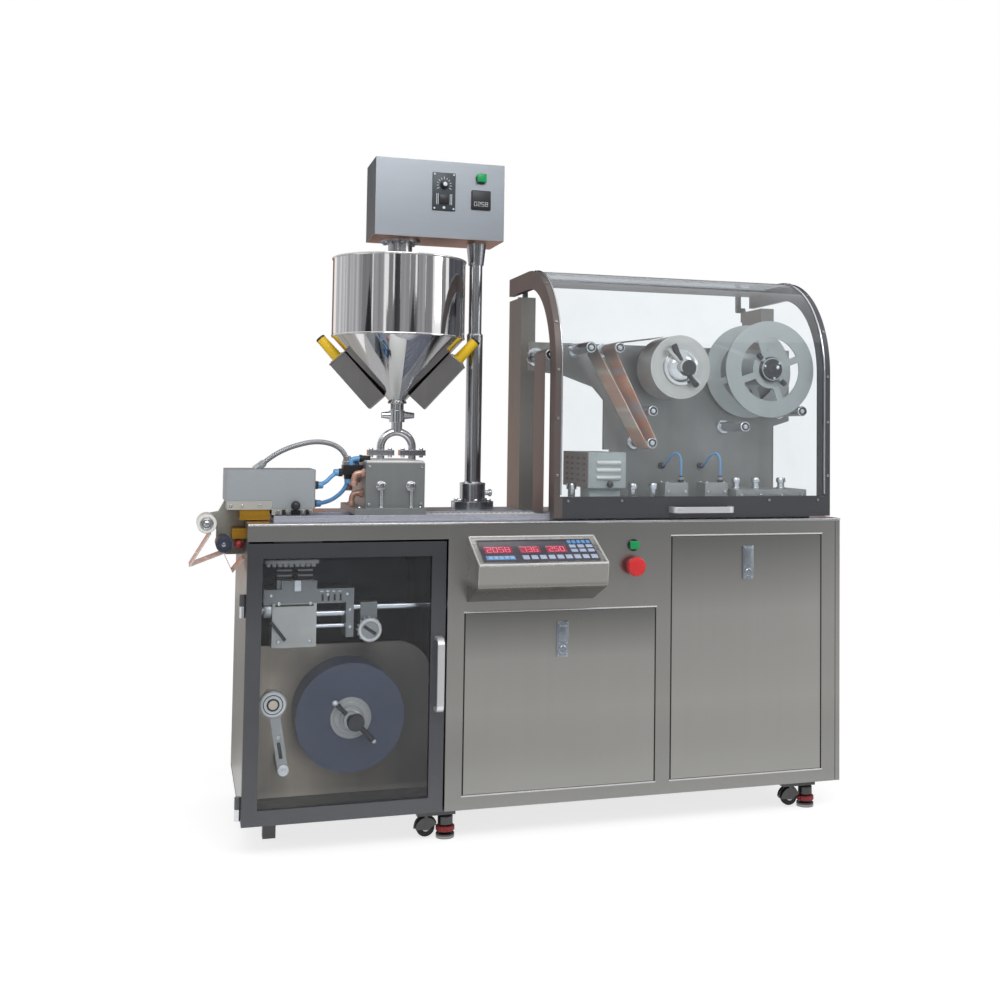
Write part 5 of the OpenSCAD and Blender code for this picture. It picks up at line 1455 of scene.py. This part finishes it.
# %% Feeder taps and lid
FEEDER_Y = 80
TAP = [(0, 0), (12, 0), (12, 2), (9, 4), (8.4, 12), (9.6, 13), (9.6, 16), (7, 18.5), (0, 19)]
bm = bmesh.new()
for x in (310, 382):
    turned(bm, (x, FEEDER_Y, 832), "front", TAP, 28)
    turned(bm, (x, 70, 779), "z", [(0, 0), (6, 0), (6, 3), (3.4, 5), (3.4, 46), (0, 46)], 20)
row_of_screws(bm, (282, 408), FEEDER_Y, (788, 878), 3.4, 3)
for x in (258, 404):
    hex_bolt(bm, (x, 68, 779), "z", 4.2, 4)
piece("feeder_taps", bm, "bright_steel")
bm = bmesh.new()
block(bm, 275.5, 414.5, 81.5, 338, 886, 892.5, soft=2)
piece("feeder_lid", bm, "pale_metal")
print("feeder taps made")

# %% [markdown]
# Formed pockets run along the film in the track, each with a white pill, from the
# feeder to the sealing station. One pill is turned once and repeated in rows.

# %% Pills in the film
PILL = [(0, 0), (5.2, 0), (5.2, 1.6), (4.2, 3.0), (2.4, 3.7), (0, 3.9)]
PILL_COLUMNS, PILL_ROWS = range(428, 716, 14), (80, 97, 114, 131, 148, 163)
bm = bmesh.new()
for x in PILL_COLUMNS:
    for y in PILL_ROWS:
        turned(bm, (x, y, 757.6), "z", PILL, 16)
piece("film_pills", bm, "white_plastic").visible_glossy = False
print("pills in the track:", len(PILL_COLUMNS) * len(PILL_ROWS))

# %% [markdown]
# The hood's clear sheet is screwed to its end frames, and a thin bright bead covers
# the joint. The bead is a tube along the hood's outline: up the front, round the
# shoulder and back along the top. Screws follow the same arc.

# %% Hood trim
ARC_Y, ARC_Z, ARC_R = 280.9, 1128.1, 264.9
ARC_STEPS, BEAD_OUT = 18, 0.6
HOOD_Y = 16
bead_r = ARC_R + BEAD_OUT
angles = [math.pi / 2 * k / ARC_STEPS for k in range(ARC_STEPS + 1)]
shoulder = [(ARC_Y - bead_r * math.cos(a), ARC_Z + bead_r * math.sin(a)) for a in angles]
outline = [(ARC_Y - bead_r, 812), *shoulder, (368, ARC_Z + bead_r)]
bm = bmesh.new()
for x in (741, 1463):
    tube(bm, [(x, y, z) for y, z in outline], 2.0, 10)
piece("hood_bead", bm, "bright_steel", "hood")
bm = bmesh.new()
row_of_screws(bm, (731.5, 1472.5), HOOD_Y, (860, 1000, 1120), 3.4, 2.4)
row_of_screws(bm, (760, 900, 1304, 1444), HOOD_Y, (797,), 3.4, 2.4)
for x in (731.5, 1472.5):
    for turn_at in (25, 55, 80):
        a = math.radians(turn_at)
        out = Vector((0, -math.cos(a), math.sin(a)))
        cap_screw(bm, Vector((x, ARC_Y, ARC_Z)) + out * ARC_R, out, 3.4, 2.4)
piece("hood_screws", bm, "machined", "hood")
print("hood trim made")

# %% [markdown]
# Under the hood the foil roll is clamped by a chromed cone with black levers and
# the waste reel by a black lobed clamp. All ride on their reels, so that they spin
# with them.

# %% Reel clamps
FOIL_CONE = [
    (0, 0), (48.6, 0), (48.6, 3), (46, 6.5), (40, 8), (34, 15), (27, 20), (19, 22), (18.2, 27), (0, 27)]
WASTE_HUB = [(0, 0), (33, 0), (33, 9), (30.6, 13), (24, 15), (14, 15.4), (14, 19), (11, 20.5), (0, 20.5)]
x, z = FOIL
bm = bmesh.new()
turned(bm, (x, 67.5, z), "front", FOIL_CONE, 56)
piece("foil_cone", bm, "mirror_steel", "foil_reel")
bm = bmesh.new()
turned(bm, (x + 7, 67.5, z - 3), "front", [(0, 20), (21, 20), (21, 38), (18.5, 40.6), (0, 40.6)], 36)
for bearing in (116, -52):
    lever_arm(bm, x, 47.5, z, bearing, 16, 63, 8.4)
piece("foil_levers", bm, "black_plastic", "foil_reel")
x, z = WASTE
bm = bmesh.new()
turned(bm, (x, 68, z), "front", WASTE_HUB, 48)
for bearing in (135, -45):
    lever_arm(bm, x, 61, z, bearing, 28, 57, 7)
piece("waste_clamp", bm, "black_plastic", "waste_rewind")
bm = bmesh.new()
ball_knob(bm, (x + 8, 48.5, z + 4), "front", 6, 1)
for u, v in ring_of(3, 24, 40):
    cap_screw(bm, (x + u, 53.4, z + v), "front", 3.4, 2.4)
piece("waste_screws", bm, "bright_steel", "waste_rewind")
print("reels clamped at", FOIL, "and", WASTE)

# %% [markdown]
# Seven idlers lead the foil. Each gets a bright end cap and a collar at the plate,
# a dark bearing core and a bolt head, as three pieces for their three finishes.

# %% Idler ends
IDLERS = [
    (727.8, 1160.2), (834, 1180.8), (911.1, 1182.7), (1003, 1023), (1001.1, 941), (1261.9, 986),
    (1427.8, 1029.1)]
IDLER_Y = 75.5
IDLER_CAP = [
    (0, -2), (13.4, -2), (13.4, 1.2), (11.8, 2.4), (7, 2.4), (6.2, 1.2), (4, 1.2), (3.4, 3.4), (0, 3.4)]
caps, cores, heads = bmesh.new(), bmesh.new(), bmesh.new()
for x, z in IDLERS:
    turned(caps, (x, IDLER_Y, z), "front", IDLER_CAP, 32)
    turned(caps, (x, 215, z), "front", [(13, 0), (19, 0), (19, 3.4), (17, 5), (13, 5)], 32)
    turned(cores, (x, IDLER_Y, z), "front", [(6.4, 1), (10.4, 1), (10.4, 3), (6.4, 3)], 28)
    hex_bolt(heads, (x, IDLER_Y, z), "front", 4.6, 5.4)
piece("idler_caps", caps, "bright_steel")
piece("idler_cores", cores, "black_plastic")
piece("idler_bolts", heads, "pale_metal")
print("idlers:", len(IDLERS))

# %% [markdown]
# The lidding foil is printed aluminium. Soft blocks of orange, pink and cream lie
# across it, from a stretched noise with a colour ramp. Only its hanging strips show
# the print; the rest is seen from the back and stays grey.

# %% Finish: printed foil
BARE_FOIL = tone(208, 208, 214)
PRINT = {
    0.34: (208, 208, 214), 0.43: (236, 186, 162), 0.5: (246, 198, 172), 0.57: (248, 236, 218),
    0.66: (230, 184, 190)}
tree, shader, where = start_finish("printed_foil")
spread = put(tree, "Mapping", {"Vector": where, "Scale": (7.0, 0.5, 5.0)}).outputs[0]
ramp = put(tree, "ValToRGB", {"Fac": noise(tree, spread, 2.2, 1.5, Distortion=0.4)})
for stop_at, colour in PRINT.items():
    ramp.color_ramp.elements.new(stop_at).color = tone(*colour)
for end in (0, -1):
    ramp.color_ramp.elements[end].color = BARE_FOIL
spot = xyz(tree, where)
past_idlers = ranged(tree, spot["X"], 0.0, 1.0, 0.08, 0.12)
hanging = times(tree, past_idlers, ranged(tree, spot["Z"], 1.0, 0.15, 1.12, 1.17))
cloudy = use(tree, marks_group, Vector=where, Scale=9.0)["Mask"]
plain = mixed(tree, cloudy, tone(108, 99, 97), tone(112, 103, 101))
wire(tree, shader, {
    "Base Color": mixed(tree, hanging, plain, ramp.outputs[0]),
    "Roughness": ranged(tree, cloudy, 0.4, 0.44),
    "Metallic": 0.12,
})
print("printed foil made with", len(PRINT), "stops")

# %% [markdown]
# The louvred box vents a small heater. Each louvre is a pressed half-round lip,
# and the left side has rows of slots, drawn as black bars: painted shade in the
# openings. A black knob hangs below its front. A lip is a plate between two half
# rounds, one at each end.

# %% Louvres and slots
LIP_X = (851, 915)
LIP_ARC = [math.pi * k / 6 for k in range(7)]
bm = bmesh.new()
for z in (848, 867, 886):
    arc = [(75 - 7 * math.sin(a), z + 3.5 + 5.5 * math.cos(a)) for a in LIP_ARC]
    plate(bm, *([(x, y, h) for y, h in arc] for x in LIP_X))
piece("louvre_lips", bm, "white_plastic")
bm = bmesh.new()
# Painted shade: black bars stand in the side's slots.
for y in (110, 160, 210, 255):
    for k in range(5):
        block(bm, 827.5, 830.6, y - 15.4, y + 15.4, 841.4 + 14 * k, 846.8 + 14 * k, soft=0.2)
ball_knob(bm, (884, 75, 836), "front", 9, 3)
piece("slot_shade_and_knob", bm, "black_plastic")
print("louvres made")

# %% [markdown]
# Bright studs and screws hold down the sealing station. The studs are turned with
# their washers and nuts in one profile, because only the outline shows.

# %% Sealing studs
BLOCK_X = HOOD_X + 322
BED_X, BED_W = 1230, 203
TALL_STUD = [(0, 0), (14, 0), (14, 3), (9.4, 4), (9.4, 26), (13, 27), (13, 36), (11, 41), (0, 41)]
SHORT_STUD = [(0, 0), (13, 0), (13, 3), (9.4, 4), (9.4, 16), (12.5, 17), (12.5, 25), (10.5, 29), (0, 29)]
bm = bmesh.new()
for x in (800, 965, 1022):
    turned(bm, (x, 120, 795), "z", TALL_STUD, 28)
for share in (0.133, 0.414, 0.778):
    turned(bm, (BED_X + share * BED_W, 120, 822), "z", SHORT_STUD, 28)
for k in (0, 1):
    for dx in (8, 56):
        x = BLOCK_X + TUBE_STEP * k + dx
        for y in (101, 144):
            cap_screw(bm, (x, y, 838), "z", 4, 3.4)
        cap_screw(bm, (x, 95, 816), "front", 3.6, 3)
row_of_screws(bm, (1244, 1300, 1360, 1420), 60, (808,), 3.6, 3)
piece("sealing_studs", bm, "bright_steel")
print("sealing station dressed")

# %% [markdown]
# Each solid gets the finish that the real part has. Most keep their CAD shape. The
# clear ones cast no shadow.

# %% Finishes on the solids
PAINT_LIST = {
    "panel_steel": "middle_panel right_panel",
    "shell_steel": "side_panels back_panel",
    "fascia_steel": "front_fascia bay_apron",
    "top_steel": "worktop",
    "console_steel": "console_housing",
    "drive_sheet": "drive_box",
    "box_steel": "cone_boxes",
    "base_steel": "bottom_plate caster_bodies",
    "bed_steel": "tower_bed",
    "feeder_steel": "feeder_box",
    "painted_bay_shade": "partition_wall",
    "mirror_steel": "hopper",
    "bright_steel": "feed_pipe outlet_valve guide_rollers door_hinges",
    "dull_chrome": "tower_post drive_tube",
    "handle_metal": "door_handle hood_handle",
    "machined": "film_chuck",
    "track_metal": "track",
    "bench_metal": "sealing_bed dancer_arm",
    "carriage_metal": "index_mechanism",
    "plate_casting": "reel_plate",
    "brass": "heater_plates",
    "foil_layers": "foil_roll",
    "printed_foil": "lidding_foil",
    "door_paint": "door_frame",
    "frame_paint": "hood_frame",
    "post_paint": "rear_posts",
    "cover_paint": "heater_cover",
    "bracket_paint": "heater_bracket",
    "mount_paint": "bay_mount_plate",
    "louvre_paint": "louvre_box",
    "keypad_film": "console_keypad",
    "green_cap": "start_button",
    "red_cap": "stop_button",
    "yellow_grip": "yellow_grips",
    "black_plastic": "air_manifold drive_controls",
    "tyre_rubber": "caster_wheels",
    "white_plastic": "infeed_rollers",
    "reel_plastic": "waste_reel",
    "film_layers": "film_roll",
    "hood_acrylic": "hood_window",
    "door_acrylic": "door_window",
    "clear_film": "film_loop",
    "formed_web": "film_web",
}
finish_of = {name: finish for finish, names in PAINT_LIST.items() for name in names.split()}
for name, finish in finish_of.items():
    nodes[name].data.materials.clear()
    nodes[name].data.materials.append(FINISHES[finish])
for name in ("hood_window", "door_window", "film_loop", "film_web"):
    nodes[name].visible_shadow = False
print("solids finished:", len(finish_of))
